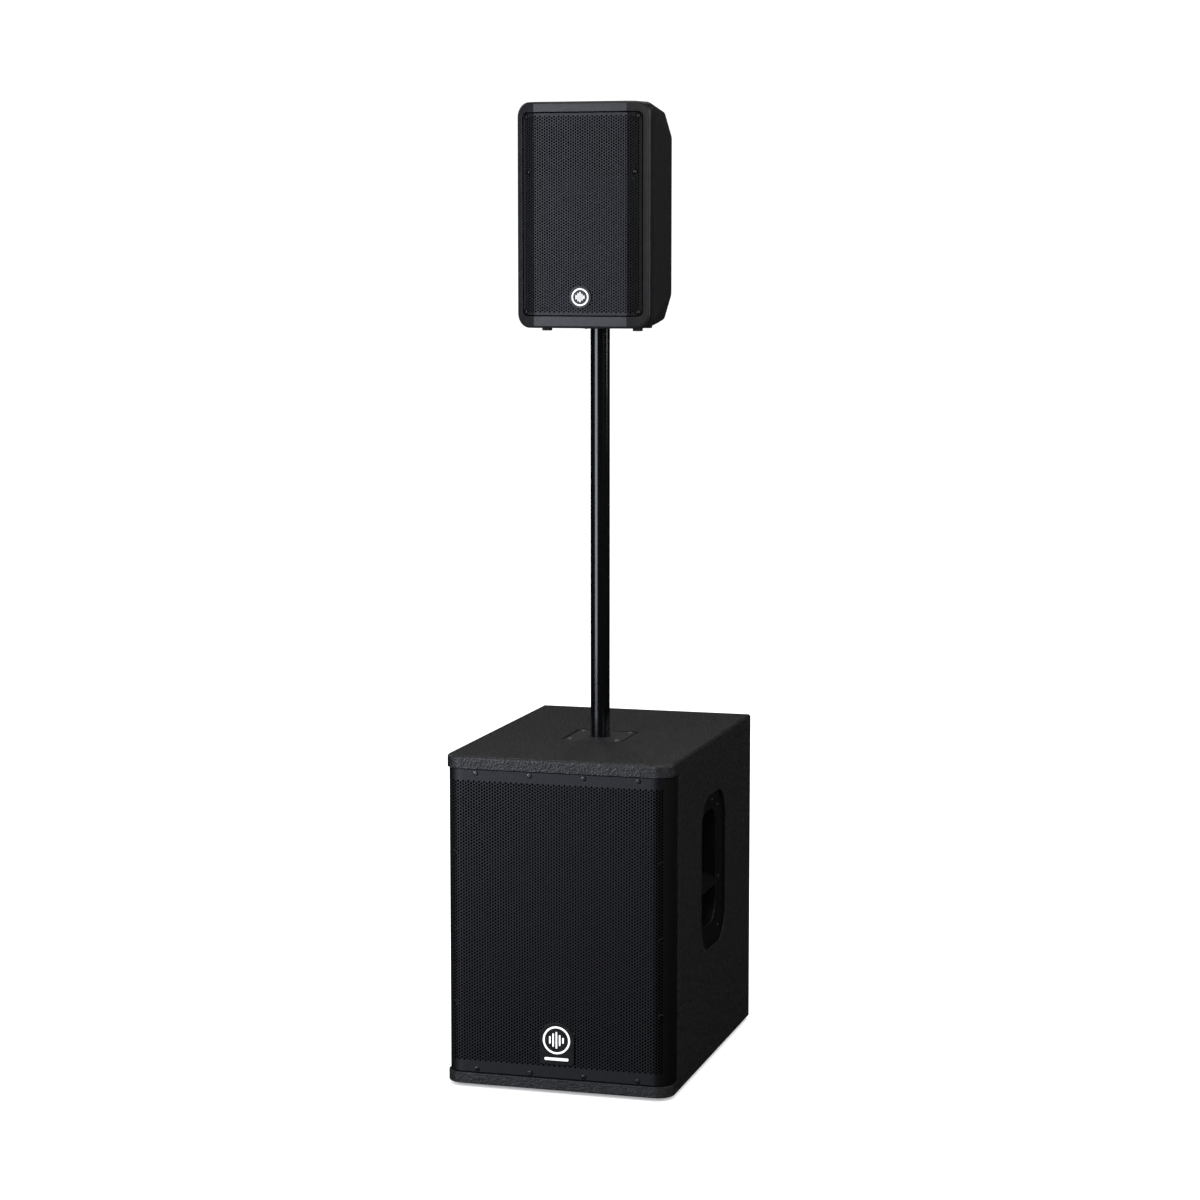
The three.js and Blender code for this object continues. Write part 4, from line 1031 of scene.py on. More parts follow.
def control_knob(name, node, body):
    """A fluted knob on a shaft, with a white pointer on its front and side."""
    box = Box(node)
    centre, radius = box.middle, box.half
    front, base = box.high[1], box.high[1] - KNOB_HEIGHT
    angle = np.linspace(0, 2 * math.pi, 108, endpoint=False)
    fluted = radius - 0.35 * (0.5 + 0.5 * np.cos(18 * angle))
    outline = np.stack([centre[0] + fluted * np.cos(angle), centre[2] + fluted * np.sin(angle)], 1)
    skirt = slab(outline, "y", (base, front), (0.3, 1.4), 4)
    shaft = rod(3, (box.low[1], base + 1), "y", on_axis(node), 24)
    piece(name, together(skirt, shaft), "control", body, node)

    def pointer(up, limits):
        return plate((centre[0] - 0.5, centre[0] + 0.5), (centre[2] + up[0], centre[2] + up[1]), limits)

    line = pointer((radius * 0.3, radius - 1.5), (front - 0.5, front + 0.05))
    side = pointer((radius - 0.8, radius - 0.05), (base + 1, front - 1.6))
    piece(f"{name}_pointer", together(line, side), "white", body)


def dial_ticks(node, face):
    """Ticks printed round a knob, from -150 to 150 degrees from the top."""
    box = Box(node)
    made = []
    for i in range(11):
        angle = math.radians(-150 + 30 * i)
        length = 2.6 if i % 5 == 0 else 1.6
        direction = np.array([math.sin(angle), math.cos(angle)])
        across = np.array([direction[1], -direction[0]]) * 0.3
        near = box.middle[[0, 2]] + direction * (box.half + 2)
        far = near + direction * length
        tick = np.array([near - across, near + across, far + across, far - across])
        made.append(slab(tick, "y", (face - 0.1, face + 0.12)))
    return together(*made)


def switch_slider(name, node, body):
    box = Box(node)
    front = box.high[1]
    stem = plate(box.x, box.z, (box.low[1], front - 0.1), 0.5, (0, 0.5), 2, 2)
    grooves = together(*(
        plate(grown(box.x, 1), (z - 0.25, z + 0.25), (front - 0.7, front + 1))
        for z in np.linspace(box.low[2] + 1.0, box.high[2] - 1.0, 3)
    ))
    piece(name, cut(stem, grooves), "control", body, node)


def power_rocker(name, node, body):
    """Two flats that meet at a shallow angle, pressed in at the lower end, with on and off signs."""
    box = Box(node)
    x, _, z = box.middle
    half, face = ROCKER_HALF, box.high[1] - 4.9
    profile = fillet([(-9, -3), (-9, 3), (1, half), (4, half), (2, 0), (4, -half), (1, -half)],
                     [0, 0, 0.5, 0.8, 3, 0.8, 0.5], 3)
    c, s = math.cos(ROCKER_TILT), math.sin(ROCKER_TILT)
    turn = np.array([[c, -s], [s, c]])
    lever = slab(profile @ turn.T + (face, z), "x", box.x, (0.5, 0.5), 2)
    piece(name, lever, "control", body, node)
    on_sign = plate((-0.35, 0.35), (-2.2, 2.2), (-0.3, 0.12), axis="z")
    off_sign = lathe(rectangle((1.5, 2.2), (-0.3, 0.12)), "z", (0, 0, 0), 32)
    marks = []
    for offset, mark in ((6.6, on_sign), (-6.6, off_sign)):
        y, up = turn @ (2.0 + 2.0 * abs(offset) / half, offset) + (face, z)
        slope = ROCKER_TILT + math.copysign(math.atan(2.0 / half), -offset)
        marks.append(placed(mark, (x, y, up), (0, math.cos(slope), math.sin(slope))))
    piece(f"{name}_signs", together(*marks), "white", body)


def rocker_bezel(name, node, face, body):
    """The thin frame round a rocker."""
    x, _, z = Box(node).middle
    outer = plate((x - 8.6, x + 8.6), (z - 15.2, z + 15.2), (face - 0.5, face + 1.6), 1.5, (0, 0.6), 4)
    hole = plate((x - 6.5, x + 6.5), (z - 13, z + 13), (face - 2, face + 4))
    piece(name, cut(outer, hole), "control", body)


def socket(name, node, face, body, kind):
    """A round three-contact socket in a flange with two screws. kind: "holes", "pins" or "combo"."""
    box = Box(node)
    x, _, z = box.middle
    at = (x, face, z)
    flange = plate(box.x, box.z, (face + 0.1, face + 2.0), 2.5, (0, 0.5), 5)
    barrel = rod(SOCKET_R, (-20, 1), "y", at, 48)
    bore = lathe([(0, -15), (9.6, -15), (9.6, 1.5), (10.2, 2.2), (10.2, 6), (0, 6)], "y", at, 48)
    piece(name, cut(boolean(flange, barrel, "UNION"), bore), "panel", body, node)

    def contacts(distance, angles, radius, limits, *shape):
        spots = [(x + distance * math.cos(a), face, z + distance * math.sin(a)) for a in angles]
        return [rod(radius, limits, "y", spot, *shape) for spot in spots]

    thirds = [math.pi / 2 + math.radians(120) * k for k in range(3)]
    if kind == "pins":
        piece(f"{name}_pins", together(*contacts(5, thirds, 1.2, (-15, -2.5), 20, 0.8)), "contact", body)
    else:
        core = rod(8.3, (-15, -2), "y", at, 40, 0.8)
        if kind == "combo":
            holes = [rod(3.4, (-14, 2), "y", at, 32), *contacts(6, (0.5, 2.64, 4.71), 1.1, (-13, 2), 16)]
        else:
            holes = contacts(5, thirds, 1.5, (-13, 2), 16)
        piece(f"{name}_core", cut(core, together(*holes)), "control", body)
        tab = plate((x - 3, x + 3), (z + 10.6, z + 14.2), (face + 1, face + 3.0), 0.8, (0, 0.6), 3)
        piece(f"{name}_latch", tab, "contact", body)
    corners = [((x + s * 9.8, face + 1.9, z + s * 12.3), (0, 1, 0)) for s in (-1, 1)]
    screws(f"{name}_screws", corners, body, screw_head(1.7, 0.8))


def mains_inlet(name, node, face, body):
    """A three-blade inlet with two chamfered corners, in a flange with two screws."""
    box = Box(node)
    x, _, z = box.middle
    front = box.high[1]
    flange = plate(box.x, box.z, (face + 0.1, front), 4, (0, 0.6), 5)
    case = block((x - 15.2, x + 15.2), (box.low[1], face + 1.5), (z - 11.7, z + 11.7))
    mouth = [(-12.2, -8.5), (12.2, -8.5), (12.2, 4.5), (8, 8.5), (-8, 8.5), (-12.2, 4.5)]
    cavity = slab(fillet([(x + a, z + b) for a, b in mouth], 1.2, 3), "y", (face - 15, face + 5))
    piece(name, cut(boolean(flange, case, "UNION"), cavity), "control", body, node)
    blades = together(*(
        block((x + a - 1, x + a + 1), (face - 15, face - 2), (z + b - 2, z + b + 2), 0.4)
        for a, b in ((0, 2.5), (-7, -2.5), (7, -2.5))
    ))
    piece(f"{name}_blades", blades, "contact", body)
    places = [((x + s * 20.3, front - 0.1, z), (0, 1, 0)) for s in (-1, 1)]
    screws(f"{name}_screws", places, body, screw_head(2.0, 0.9))


def lamps(prefix, power_x, limit_x, z, face, body):
    """The power and limit lamps of a rear panel."""
    for name, x, look in (("power", power_x, "green_lamp"), ("limit", limit_x, "red_lamp")):
        piece(f"{prefix}_lamp_{name}", rod(1.5, (-1, 1.4), "y", (x, face, z), 24, 1.2, 5), look, body)


def round_openings(nodes, radius, face):
    return [rod(radius, (-30, 30), "y", on_axis(node, face), 40) for node in nodes]


def openings(nodes, x_half, z_limits, face):
    """Rectangular holes in a rear panel behind its controls."""
    made = []
    for x, _, z in (Box(node).middle for node in nodes):
        up = (z + z_limits[0], z + z_limits[1])
        made.append(plate((x - x_half, x + x_half), up, (face - 30, face + 30)))
    return made


def panel_holes(prefix, face, knobs, sockets, sliders):
    return together(
        *round_openings(knobs, 3.6, face),
        *round_openings(sockets, 12.4, face),
        *openings(sliders, 2.6, (-3, 7), face),
        *openings([f"{prefix}_power_switch"], 6.5, (-13, 13), face),
        *openings([f"{prefix}_mains_inlet"], 15.5, (-12, 12), face),
    )


def panel_screws(name, box, face, body, inset_by, across):
    xs = np.linspace(box.low[0] + inset_by, box.high[0] - inset_by, across)
    zs = np.linspace(box.low[2] + inset_by, box.high[2] - inset_by, 4)
    spots = [(x, z) for x in xs for z in zs if x in (xs[0], xs[-1]) or z in (zs[0], zs[-1])]
    screws(name, [((x, face, z), (0, 1, 0)) for x, z in spots], body, SMALL_SCREW)


def slot_frames(nodes, face):
    """Printed frames round the slide switches."""
    made = []
    for x, _, z in (Box(node).middle for node in nodes):
        outer = plate((x - 4.6, x + 4.6), (z - 5.2, z + 9.2), (face - 0.2, face + 0.12))
        hole = plate((x - 4.1, x + 4.1), (z - 4.7, z + 8.7), (face - 2, face + 2))
        made.append(cut(outer, hole))
    return together(*made)


def fin(x, y, z, rims, steps):
    return plate((x - 1.3, x + 1.3), y, z, [0, 0, 1.1, 1.1], rims, 4, steps, "z")


def power_parts(prefix, face, body):
    power_rocker(f"{prefix}_rocker", f"{prefix}_power_switch", f"{prefix}_power_rocker")
    rocker_bezel(f"{prefix}_rocker_frame", f"{prefix}_power_switch", face, body)


def sub_rear():
    panel, sink = Box("sub_amp_panel"), Box("sub_heat_sink")
    face = panel.high[1]
    sliders = ("sub_polarity_switch", "sub_filter_switch")
    cover = plate(panel.x, panel.z, panel.y, 4, (0, 0.8), 5)
    holes = panel_holes("sub", face, ["sub_level_knob"], ("sub_xlr_input", "sub_xlr_output"), sliders)
    piece("sub_amp_plate", cut(cover, holes), "panel", SUB, "sub_amp_panel")
    panel_screws("sub_amp_screws", panel, face, SUB, 6.0, 3)

    fins = [block(sink.x, (sink.low[1], sink.low[1] + 3.7), sink.z, 0.4)]
    for x in np.linspace(sink.low[0] + 2, sink.high[0] - 2, 12):
        fins.append(fin(x, (sink.low[1] + 3, sink.high[1]), sink.z, (0.4, 0.4), 2))
    piece("sub_cooler", together(*fins), "panel", SUB, "sub_heat_sink")

    control_knob("sub_knob", "sub_level_knob", "sub_level_control")
    switch_slider("sub_polarity_slide", sliders[0], "sub_polarity_slider")
    switch_slider("sub_filter_slide", sliders[1], "sub_filter_slider")
    power_parts("sub", face, SUB)
    socket("sub_input", "sub_xlr_input", face, SUB, "holes")
    socket("sub_output", "sub_xlr_output", face, SUB, "pins")
    mains_inlet("sub_mains", "sub_mains_inlet", face, SUB)
    lamps("sub", -60, -75, Box("sub_level_knob").middle[2] + 6, face, SUB)
    prints = together(dial_ticks("sub_level_knob", face), slot_frames(sliders, face))
    piece("sub_panel_print", prints, "white", SUB)
    dress("sub_amp_board", "board")


# ---- Loudspeaker enclosure ----------------------------------------------------------------------

MOULDING = Box("top_front_moulding")
SHELL = Box("top_rear_shell")
TOP_HALF = MOULDING.high[0]
TOP_Z = MOULDING.low[2]
TOP_HEIGHT = MOULDING.high[2] - MOULDING.low[2]
BOW = 21.0
EDGE_Y = MOULDING.low[1] + BOW
FOLD_X = 84.4
WING_SLOPE = BOW / (TOP_HALF - FOLD_X)
SEAM_T = MOULDING.high[1] - EDGE_Y
SHELL_T = 4.0
BEZEL_X = 110.0
BEZEL_Z = (20.8, 375.5)
BEZEL_CORNER = 9.0
BOARD_T = (6.0, 12.0)
EDGE_ROUND = 4.6
FRONT_CORNER_R = 25.0
SEAM_CORNER_R = 14.0
SEAM_GROOVE = 1.0
DEPTH = SHELL.high[1] - EDGE_Y

# Sections of the enclosure: distance behind the outer edges, half width, low, high, the share of the
# rear corner, which has two flats, in the corner's shape, and the radius of the rest of that shape.
SECTIONS = np.array([
    (-BOW, TOP_HALF, 0, TOP_HEIGHT, 0, FRONT_CORNER_R),
    (0, TOP_HALF, 0, TOP_HEIGHT, 0, FRONT_CORNER_R),
    (SEAM_T, 120.8, 0, TOP_HEIGHT, 0, SEAM_CORNER_R),
    (212, 104.2, 3.0, 391.0, 1, SEAM_CORNER_R),
    (217, 103.4, 3.8, 390.1, 1, SEAM_CORNER_R),
    (222, 101.9, 5.2, 388.5, 1, SEAM_CORNER_R),
    (226, 99.8, 7.4, 386.3, 1, SEAM_CORNER_R),
    (229, 97.0, 10.4, 383.4, 1, SEAM_CORNER_R),
    (DEPTH, 93.5, 14.0, 380.0, 1, SEAM_CORNER_R),
])
MORE_STATIONS = (70, 118, 165)
REAR_CORNER = fillet([(0, 90), (0, 52), (13, 8.5), (27, 0), (60, 0)], [0, 30, 8, 12, 0], 3)[1:-1]


def section(t):
    return [np.interp(t, SECTIONS[:, 0], SECTIONS[:, k]) for k in range(1, 6)]


def corner_shape(radius, share):
    """Distances from the side and from the top of the points of a corner, side first."""
    angle = np.linspace(0, math.pi / 2, len(REAR_CORNER))
    arc = radius * np.stack([1 - np.cos(angle), 1 - np.sin(angle)], 1)
    return arc + (REAR_CORNER - arc) * share


def ring_points(half, low, high, radius, share=0.0):
    """An anticlockwise ring of the enclosure that always has the same points, some at the folds."""
    corner = corner_shape(radius, share)
    limit = half - corner[-1][0]
    along = [min(max(x, -limit), limit) for x in (-FOLD_X, -42.0, 0.0, 42.0, FOLD_X)]
    up = np.linspace(low + corner[0][1], high - corner[0][1], 6)[1:-1]
    points = [(-half + u, low + v) for u, v in corner]
    points += [(x, low) for x in along]
    points += [(half - u, low + v) for u, v in corner[::-1]]
    points += [(half, z) for z in up]
    points += [(half - u, high - v) for u, v in corner]
    points += [(x, high) for x in reversed(along)]
    points += [(-half + u, high - v) for u, v in corner[::-1]]
    points += [(-half, z) for z in reversed(up)]
    return np.array(points)


def bow(x):
    """How far behind the outer edges the bowed front is, at a distance from the middle."""
    return -BOW + np.maximum(np.abs(x) - FOLD_X, 0) * WING_SLOPE


def flat_row(points, behind):
    """A ring of points on an upright plane, behind the outer edges by a distance."""
    return lay(points + (0, TOP_Z), EDGE_Y + behind, "y")


def front_row(points, behind):
    """A ring of points on the bowed front, moved back by a distance."""
    return flat_row(points, bow(points[:, 0]) + behind)


def enclosure_row(t, inset_by=0.0):
    half, low, high, share, radius = section(t)
    return flat_row(ring_points(half - inset_by, low + inset_by, high - inset_by, radius, share), t)


def enclosure_solid(inset_by, from_t, to_t):
    between = [t for t in (*SECTIONS[:, 0], *MORE_STATIONS) if from_t < t < to_t]
    return skin([enclosure_row(t, inset_by) for t in sorted({from_t, to_t, *between})])


def front_outline(inset_by):
    return ring_points(TOP_HALF - inset_by, inset_by, TOP_HEIGHT - inset_by, FRONT_CORNER_R - inset_by * 0.8)


def bezel_hole(grow):
    return ring_points(BEZEL_X + grow, BEZEL_Z[0] - grow, BEZEL_Z[1] + grow, BEZEL_CORNER + grow)


def top_front():
    """The front moulding's rim, from the seam over the edge and in to the board that carries the drivers."""
    rows = [
        enclosure_row(SEAM_T, SHELL_T),
        enclosure_row(SEAM_T, SEAM_GROOVE),
        enclosure_row(SEAM_T - 0.3, SEAM_GROOVE * 0.4),
        enclosure_row(SEAM_T - 0.9),
        enclosure_row(14.0),
    ]
    for a in np.linspace(0, math.pi / 2, 8):
        rows.append(front_row(front_outline(EDGE_ROUND * (1 - math.cos(a))), EDGE_ROUND * (1 - math.sin(a))))
    rows += [front_row(bezel_hole(grow), behind) for grow, behind in ((0.9, 0.0), (0.25, 0.25), (0.0, 0.9))]
    rows += [flat_row(bezel_hole(0.0), t) for t in BOARD_T]
    rows.append(enclosure_row(BOARD_T[1], SHELL_T))
    piece("top_front", skin(rows, loop=True), "plastic", TOP, "top_front_moulding", 24)

    horn_z = Box("top_horn").middle[2]
    board = plate((-BEZEL_X - 1, BEZEL_X + 1), [TOP_Z + z for z in grown(BEZEL_Z, 1)],
                  (EDGE_Y + BOARD_T[0] + 0.05, EDGE_Y + BOARD_T[1] - 0.05), BEZEL_CORNER)
    well = rod(92.5, (-20, 20), "y", (0, EDGE_Y + 9, Box("top_woofer_frame").middle[2]), 72)
    throat = plate((-90, 90), (horn_z - 48, horn_z + 48), (EDGE_Y - 20, EDGE_Y + 30), 14)
    # The front board takes the darker plastic copy: painted shade behind the grille.
    piece("top_front_board", cut(board, well, throat), "horn", TOP)


TOP_HOLE_PITCH = 5.0
TOP_COLUMN = 4.33
TOP_HOLE_R = 1.86
TOP_GRILLE_BEHIND = 3.0
TOP_GRILLE_MARGIN = 3.4
TOP_SCREWS = ((102.0, 367.8), (103.0, 28.3), (96.8, 271.6))  # distance from the middle, height


def top_grille():
    box = Box("top_grille")
    bottom, top = box.z
    stretch = math.hypot(1, WING_SLOPE)
    wing = (box.high[0] - FOLD_X) * stretch

    def place(u, depth):
        across = np.abs(u)
        x = np.where(across < FOLD_X, across, FOLD_X + (across - FOLD_X) / stretch)
        y = EDGE_Y + bow(x) + TOP_GRILLE_BEHIND + depth * np.where(across > FOLD_X + 0.01, stretch, 1.0)
        return np.sign(u) * x, y

    side = lines((FOLD_X, FOLD_X + wing), TOP_COLUMN)[1:]
    u = np.concatenate([-side[::-1], lines((-FOLD_X, FOLD_X), TOP_COLUMN), side])
    holes = round((top - bottom - 2 * TOP_GRILLE_MARGIN) / TOP_HOLE_PITCH)
    half_rows = np.linspace(bottom + TOP_GRILLE_MARGIN, top - TOP_GRILLE_MARGIN, 2 * holes + 1)
    v = np.concatenate([[bottom], half_rows, [top]])
    fixings = [(way * (FOLD_X + (abs(x) - FOLD_X) * stretch), z) for way in (-1, 1) for x, z in TOP_SCREWS]
    badge = Box("top_badge").middle

    def holed(a, b):
        behind_badge = math.hypot(a - badge[0], b - badge[2]) < 17
        at_screw = any(math.hypot(a - x, b - TOP_Z - z) < 5.4 for x, z in fixings)
        return abs(a) < FOLD_X + wing - 3.2 and not behind_badge and not at_screw

    sheet = perforated(place, u, v, 1, TOP_HOLE_R, GRILLE_T, holed)
    piece("top_grille_sheet", sheet, "grille", TOP, "top_grille", 26)
    spots = [
        ((way * x, EDGE_Y + float(bow(x)) + TOP_GRILLE_BEHIND, TOP_Z + z), (way * WING_SLOPE, -1, 0))
        for way in (-1, 1) for x, z in TOP_SCREWS
    ]
    screws("top_grille_screws", spots, TOP, screw_head(3.2, 1.6), "dark_screw")
    # Near-black rings under the grille screws: rubber washers, whose dark rings also stand in for painted
    # shade in dimples round the screws.
    washer = lathe([(2.2, -0.2), (5.6, -0.2), (5.3, 0.4), (2.2, 0.4)], "z", (0, 0, 0), 28)
    piece("top_grille_washers", together(*(placed(washer, at, facing) for at, facing in spots)), "dark_rubber_and_shade", TOP)


def top_shell():
    seam = SHELL.low[1] - EDGE_Y
    amp, cup = Box("top_amp_panel"), Box("top_handle")
    gap = 0.3
    shell = cut(
        enclosure_solid(0.0, seam, DEPTH),
        enclosure_solid(SHELL_T, seam - 5, DEPTH - SHELL_T),
        plate(grown(amp.x, gap), grown(amp.z, gap), (SHELL.high[1] - 20, SHELL.high[1] + 20), 3, turns=3),
        block(grown(cup.x, gap), grown(cup.y, gap), (cup.low[2], cup.high[2] + 30)),
        rod(32.3, (-20, 30), "z", (POLE_X, POLE_Y, TOP_Z), 56),
    )
    piece("top_shell", shell, "shell", TOP, "top_rear_shell", 24)


def top_handle():
    """A recess in the top with a bar across it, cut to the enclosure's outside."""
    box = Box("top_handle")
    wall, roof = 3.0, box.high[2] + 10
    outer = block(box.x, box.y, (box.low[2], roof))
    hollow = plate(grown(box.x, -wall), grown(box.y, -wall), (box.low[2] + wall, roof + 5), 8, (5, 0),
                   steps=4, axis="z")
    cup = boolean(cut(outer, hollow), enclosure_solid(0.0, SEAM_T + 2, DEPTH), "INTERSECT")
    bar = plate((POLE_Y - 11, POLE_Y + 11), (box.high[2] - 17, box.high[2] - 0.8), grown(box.x, -1),
                [6, 6, 4, 4], axis="x")
    piece("top_grip", together(cup, bar), "plastic", TOP, "top_handle")


def top_socket():
    box = Box("top_pole_socket")
    flange_r = box.half
    base, reach = (z - TOP_Z for z in box.z)
    profile = fillet([
        (18, base + 1), (19, base), (flange_r, base), (flange_r, -1), (32, -1), (32, 22), (22, 22),
        (22, reach), (0, reach), (0, reach - 4), (18, reach - 4),
    ], [0, 0.4, 0.9, 0.5, 0, 1, 2, 1, 0, 0, 0], 3)
    piece("top_cup", lathe(profile, "z", (POLE_X, POLE_Y, TOP_Z), 72), "plastic", TOP, "top_pole_socket")
    places = [
        ((POLE_X + 28.5 * math.cos(a), POLE_Y + 28.5 * math.sin(a), box.low[2]), (0, 0, -1))
        for a in (math.pi / 4 + k * math.pi / 2 for k in range(4))
    ]
    screws("top_socket_screws", places, TOP, screw_head(2.6, 0.9))


def top_feet():
    """Four rubber feet under the loudspeaker, two near each edge; the rear ones are flatter."""
    made = []
    for x, t, drop in ((83.8, 57, 6.3), (76, 150, 3.4)):
        for cx in (-x, x):
            made.append(plate((cx - 8, cx + 8), (EDGE_Y + t - 7, EDGE_Y + t + 7),
                              (TOP_Z - drop, TOP_Z + section(t)[1] + 9), 2.5, (1.4, 0), 4, axis="z"))
    piece("top_feet", together(*made), "rubber", TOP)


THROAT_R = 12.7
HORN_MOUTH = (84, 42)  # half width and half height
# Depth behind the horn's flange, and the share of the mouth in the horn's section there.
HORN_SHARES = [
    (-3.3, 1.04), (-1.5, 1.0), (2, 0.98), (10, 0.85), (18, 0.72), (28, 0.56), (38, 0.42), (49, 0.29),
    (60, 0.18), (74, 0.07),
]


def top_horn():
    box = Box("top_horn")
    centre_z = box.middle[2]
    mouth_y = box.low[1] + 3.3

    def outline(half_w, half_h, radius, depth):
        corners = rectangle((-half_w, half_w), (-half_h, half_h))
        return lay(fillet(corners, radius, 8) + (0, centre_z), mouth_y + depth, "y")

    def row(depth, share, grow):
        half_w, half_h = (THROAT_R + (mouth - THROAT_R) * share + grow for mouth in HORN_MOUTH)
        radius = THROAT_R + (10 - THROAT_R) * min(share, 1) + grow * 0.99
        return outline(half_w, half_h, min(radius, half_h - 0.05, half_w - 0.05), depth)

    half_w, half_h = box.half, (box.high[2] - box.low[2]) / 2
    shares = [*HORN_SHARES, (box.high[1] - mouth_y, 0.0)]
    rows = [row(d, s, 0) for d, s in shares] + [row(d, s, 3) for d, s in shares[:1:-1]] + [row(-0.3, 0.98, 3)]
    for depth, shrink in ((-0.3, 0), (-2.5, 0), (-3.3, 0.8)):
        rows.append(outline(half_w - shrink, half_h - shrink, 12 - shrink, depth))
    # The horn takes the darker plastic copy: painted shade behind the grille.
    piece("top_horn_body", skin(rows, loop=True), "horn", TOP, "top_horn", 40)
    places = [
        ((sx * (half_w - 8), box.low[1] + 0.1, centre_z + sz * (half_h - 8)), (0, -1, 0))
        for sx in (-1, 1) for sz in (-1, 1)
    ]
    screws("top_horn_screws", places, TOP, SMALL_SCREW)
    compression_driver(centre_z)


def compression_driver(centre_z):
    box = Box("top_compression_driver")
    radius = box.half
    y0, y1 = box.y
    profile = fillet([
        (0, y0), (24, y0), (24, y0 + 8), (radius, y0 + 12), (radius, y0 + 22), (radius - 1, y0 + 23),
        (radius, y0 + 24), (radius, y0 + 34), (radius - 4, y1), (0, y1),
    ], [0, 1, 1, 1.5, 0.3, 0.3, 0.3, 3, 3, 0], 4)
    driver = lathe(profile, "y", (0, 0, box.middle[2]), 72)
    piece("top_driver", driver, "magnet", TOP, "top_compression_driver")
    # A near-black phase plug in the throat: a real part, given a dark colour so the throat reads as painted
    # shade.
    profile = [(0, -9), (2.4, -8), (12.4, -1.2), (12.4, -0.4), (15, -0.4), (15, 0.3), (0, 0.3)]
    plug = lathe([(r, y0 + a) for r, a in profile], "y", (0, 0, centre_z), 48)
    piece("top_phase_plug", plug, "dark_rubber_and_shade", TOP)


def top_rear():
    panel = Box("top_amp_panel")
    face = SHELL.high[1]
    knobs = ("top_level_knob_1", "top_level_knob_2")
    sockets = ("top_input_jack_1", "top_input_jack_2", "top_xlr_output")
    slider = "top_contour_switch"
    cover = plate(panel.x, panel.z, (panel.low[1], face), 3, (0, 0.6), 4)
    parts = [cut(cover, panel_holes("top", face, knobs, sockets, [slider]))]
    fin_z = (panel.middle[2] + 12, panel.high[2] - 8)
    parts += [fin(-60 + 15 * i, (face - 1, panel.high[1]), fin_z, (1.5, 1.5), 3) for i in range(9)]
    piece("top_amp_plate", together(*parts), "panel", TOP, "top_amp_panel")
    panel_screws("top_amp_screws", panel, face, TOP, 5.0, 2)

    for number, knob in enumerate(knobs, 1):
        control_knob(f"top_knob_{number}", knob, f"top_level_control_{number}")
    switch_slider("top_contour_slide", slider, "top_contour_slider")
    power_parts("top", face, TOP)
    socket("top_input_1", sockets[0], face, TOP, "combo")
    socket("top_input_2", sockets[1], face, TOP, "combo")
    socket("top_output", sockets[2], face, TOP, "pins")
    mains_inlet("top_mains", "top_mains_inlet", face, TOP)
    lamps("top", -52, -62, Box(slider).middle[2] + 6, face, TOP)
    prints = together(*(dial_ticks(knob, face) for knob in knobs), slot_frames([slider], face))
    piece("top_panel_print", prints, "white", TOP)
    dress("top_amp_board", "board")


# ---- Floor, light and camera ----------------------------------------------------------------------


def floor():
    mesh = bpy.data.meshes.new("floor")
    half = 40.0
    corners = [(x, y, 0) for x, y in rectangle((-half, half), (-half, half))]
    mesh.from_pydata(corners, [], [(0, 1, 2, 3)])
    material = bpy.data.materials.new("pale_floor")
    material.use_nodes = True
    shader = material.node_tree.nodes["Principled BSDF"]
    shader.inputs["Base Color"].default_value = (0.93, 0.93, 0.93, 1)
    shader.inputs["Roughness"].default_value = 0.9
    shader.inputs["Specular IOR Level"].default_value = 0.0
    shader.inputs["Emission Color"].default_value = (1, 1, 1, 1)
    shader.inputs["Emission Strength"].default_value = 0.3
    mesh.materials.append(material)
    obj = linked("floor", mesh)
    obj.visible_glossy = False


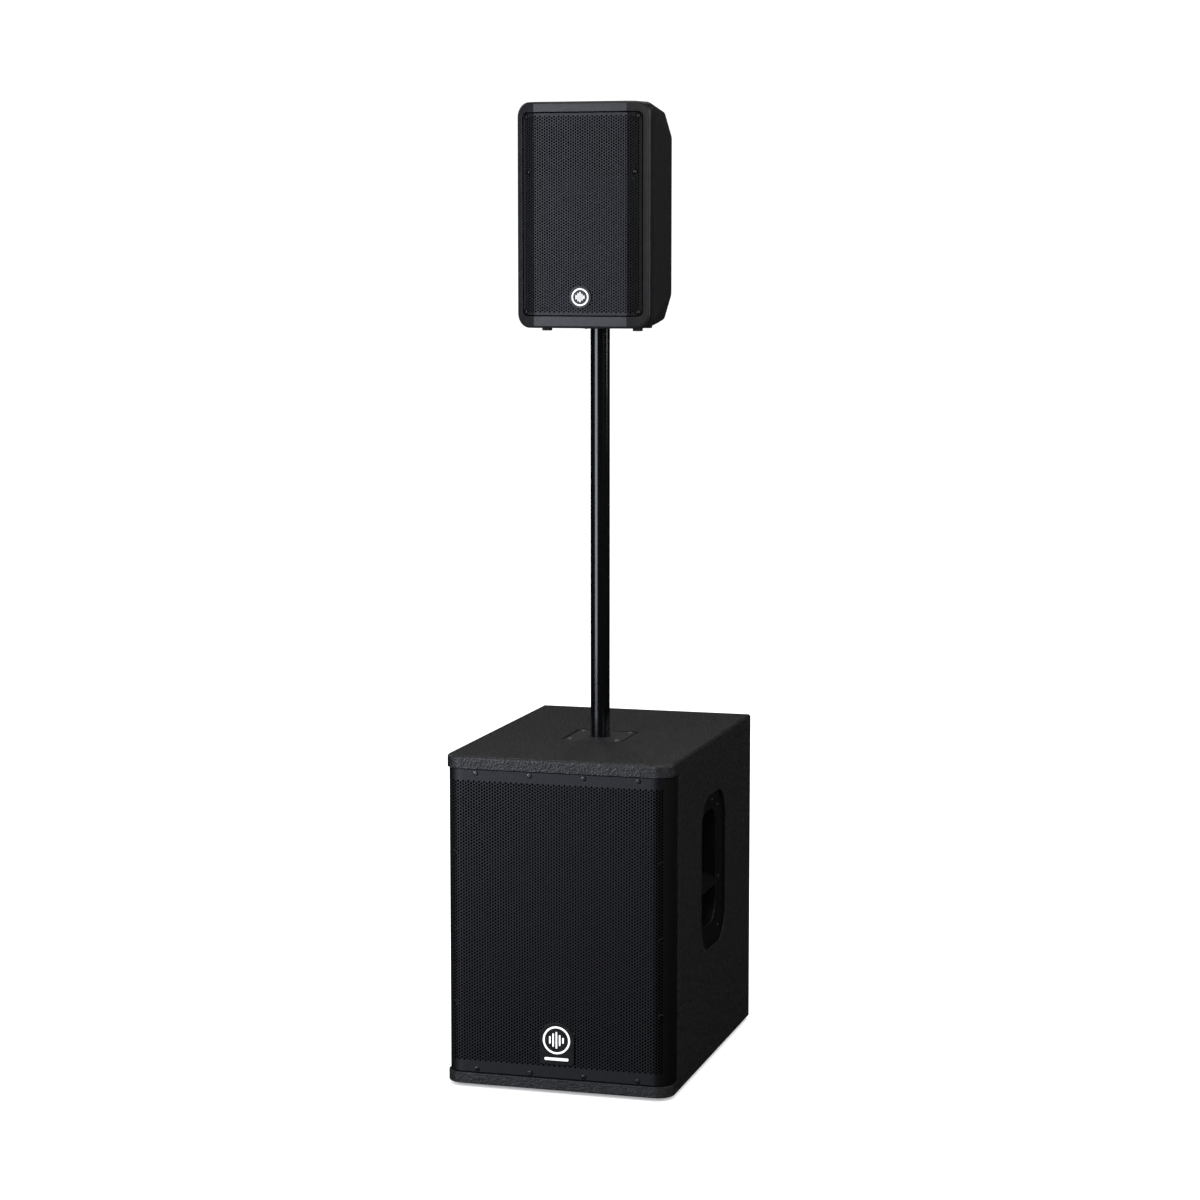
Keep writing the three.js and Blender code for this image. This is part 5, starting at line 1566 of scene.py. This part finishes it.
# Azimuth from the front in degrees to the right, distance, height, size, the height that it's aimed
# at, radiance and colour, in metres.
LIGHTS = {
    "key_light": (-33, 4.6, 1.5, (2.4, 3.0), 1.0, 6.0, (0.9, 0.96, 1.1)),
    "fill_light": (57, 4.6, 2.3, (0.9, 1.6), 1.5, 4.5, (1, 1, 1)),
    "top_light": (20, 1.2, 4.2, (2.6, 2.6), 0.6, 1.9, (1, 1, 1)),
    "right_light": (103, 3.0, 1.7, (0.2, 1.2), 1.5, 8.0, (1, 1, 1)),
    "back_light": (194, 4.2, 5.2, (3.2, 1.6), 0.6, 2.5, (1, 1, 1)),
    "back_left_light": (238, 4.5, 3.0, (1.6, 1.6), 0.9, 2.5, (1, 1, 1)),
    "back_right_light": (124, 4.5, 3.0, (1.6, 1.6), 0.9, 3.0, (1, 1, 1)),
}


def softbox(name, azimuth, distance, height, size, aim_z, radiance, colour):
    """A rectangular light that faces the stack."""
    a = math.radians(azimuth)
    at = Vector((math.sin(a) * distance, -math.cos(a) * distance, height))
    light = bpy.data.lights.new(name, "AREA")
    light.shape = "RECTANGLE"
    light.size, light.size_y = size
    light.energy = radiance * math.pi * size[0] * size[1]
    light.color = colour
    obj = linked(name, light)
    obj.location = at
    obj.rotation_euler = (Vector((0, 0, aim_z)) - at).to_track_quat("-Z", "Y").to_euler()
    obj.visible_camera = False


def studio():
    world = bpy.data.worlds.new("studio")
    world.use_nodes = True
    background = world.node_tree.nodes["Background"]
    background.inputs["Color"].default_value = (1, 1, 1, 1)
    background.inputs["Strength"].default_value = 1.08
    bpy.context.scene.world = world
    world.cycles_visibility.glossy = False
    for name, values in LIGHTS.items():
        softbox(name, *values)
    bpy.context.scene.view_settings.view_transform = "Standard"


def camera():
    data = bpy.data.cameras.new("camera")
    data.lens = LENS
    data.sensor_width = SENSOR
    data.clip_end = 200
    obj = linked("camera", data)
    obj.location = CAMERA_AT
    obj.rotation_euler = (math.pi / 2 - CAMERA_PITCH, 0, CAMERA_YAW)
    bpy.context.scene.camera = obj


cabinet()
handles()
sub_grille()
sub_foam()
badges()
sub_socket()
pole_pieces()
sub_feet()
woofer("sub", SUB, "sub_cone_group", coil_r=39.5, rear_r=80, cone_depth=60, bowl_r=141, roll_r=9, apart=True)
sub_motor_parts()
sub_rear()
top_front()
top_grille()
top_shell()
top_handle()
top_socket()
top_feet()
top_horn()
woofer("top", TOP, "top_cone_group", coil_r=25, rear_r=56, cone_depth=40, bowl_r=91, roll_r=6, apart=False)
top_rear()
floor()
studio()
camera()
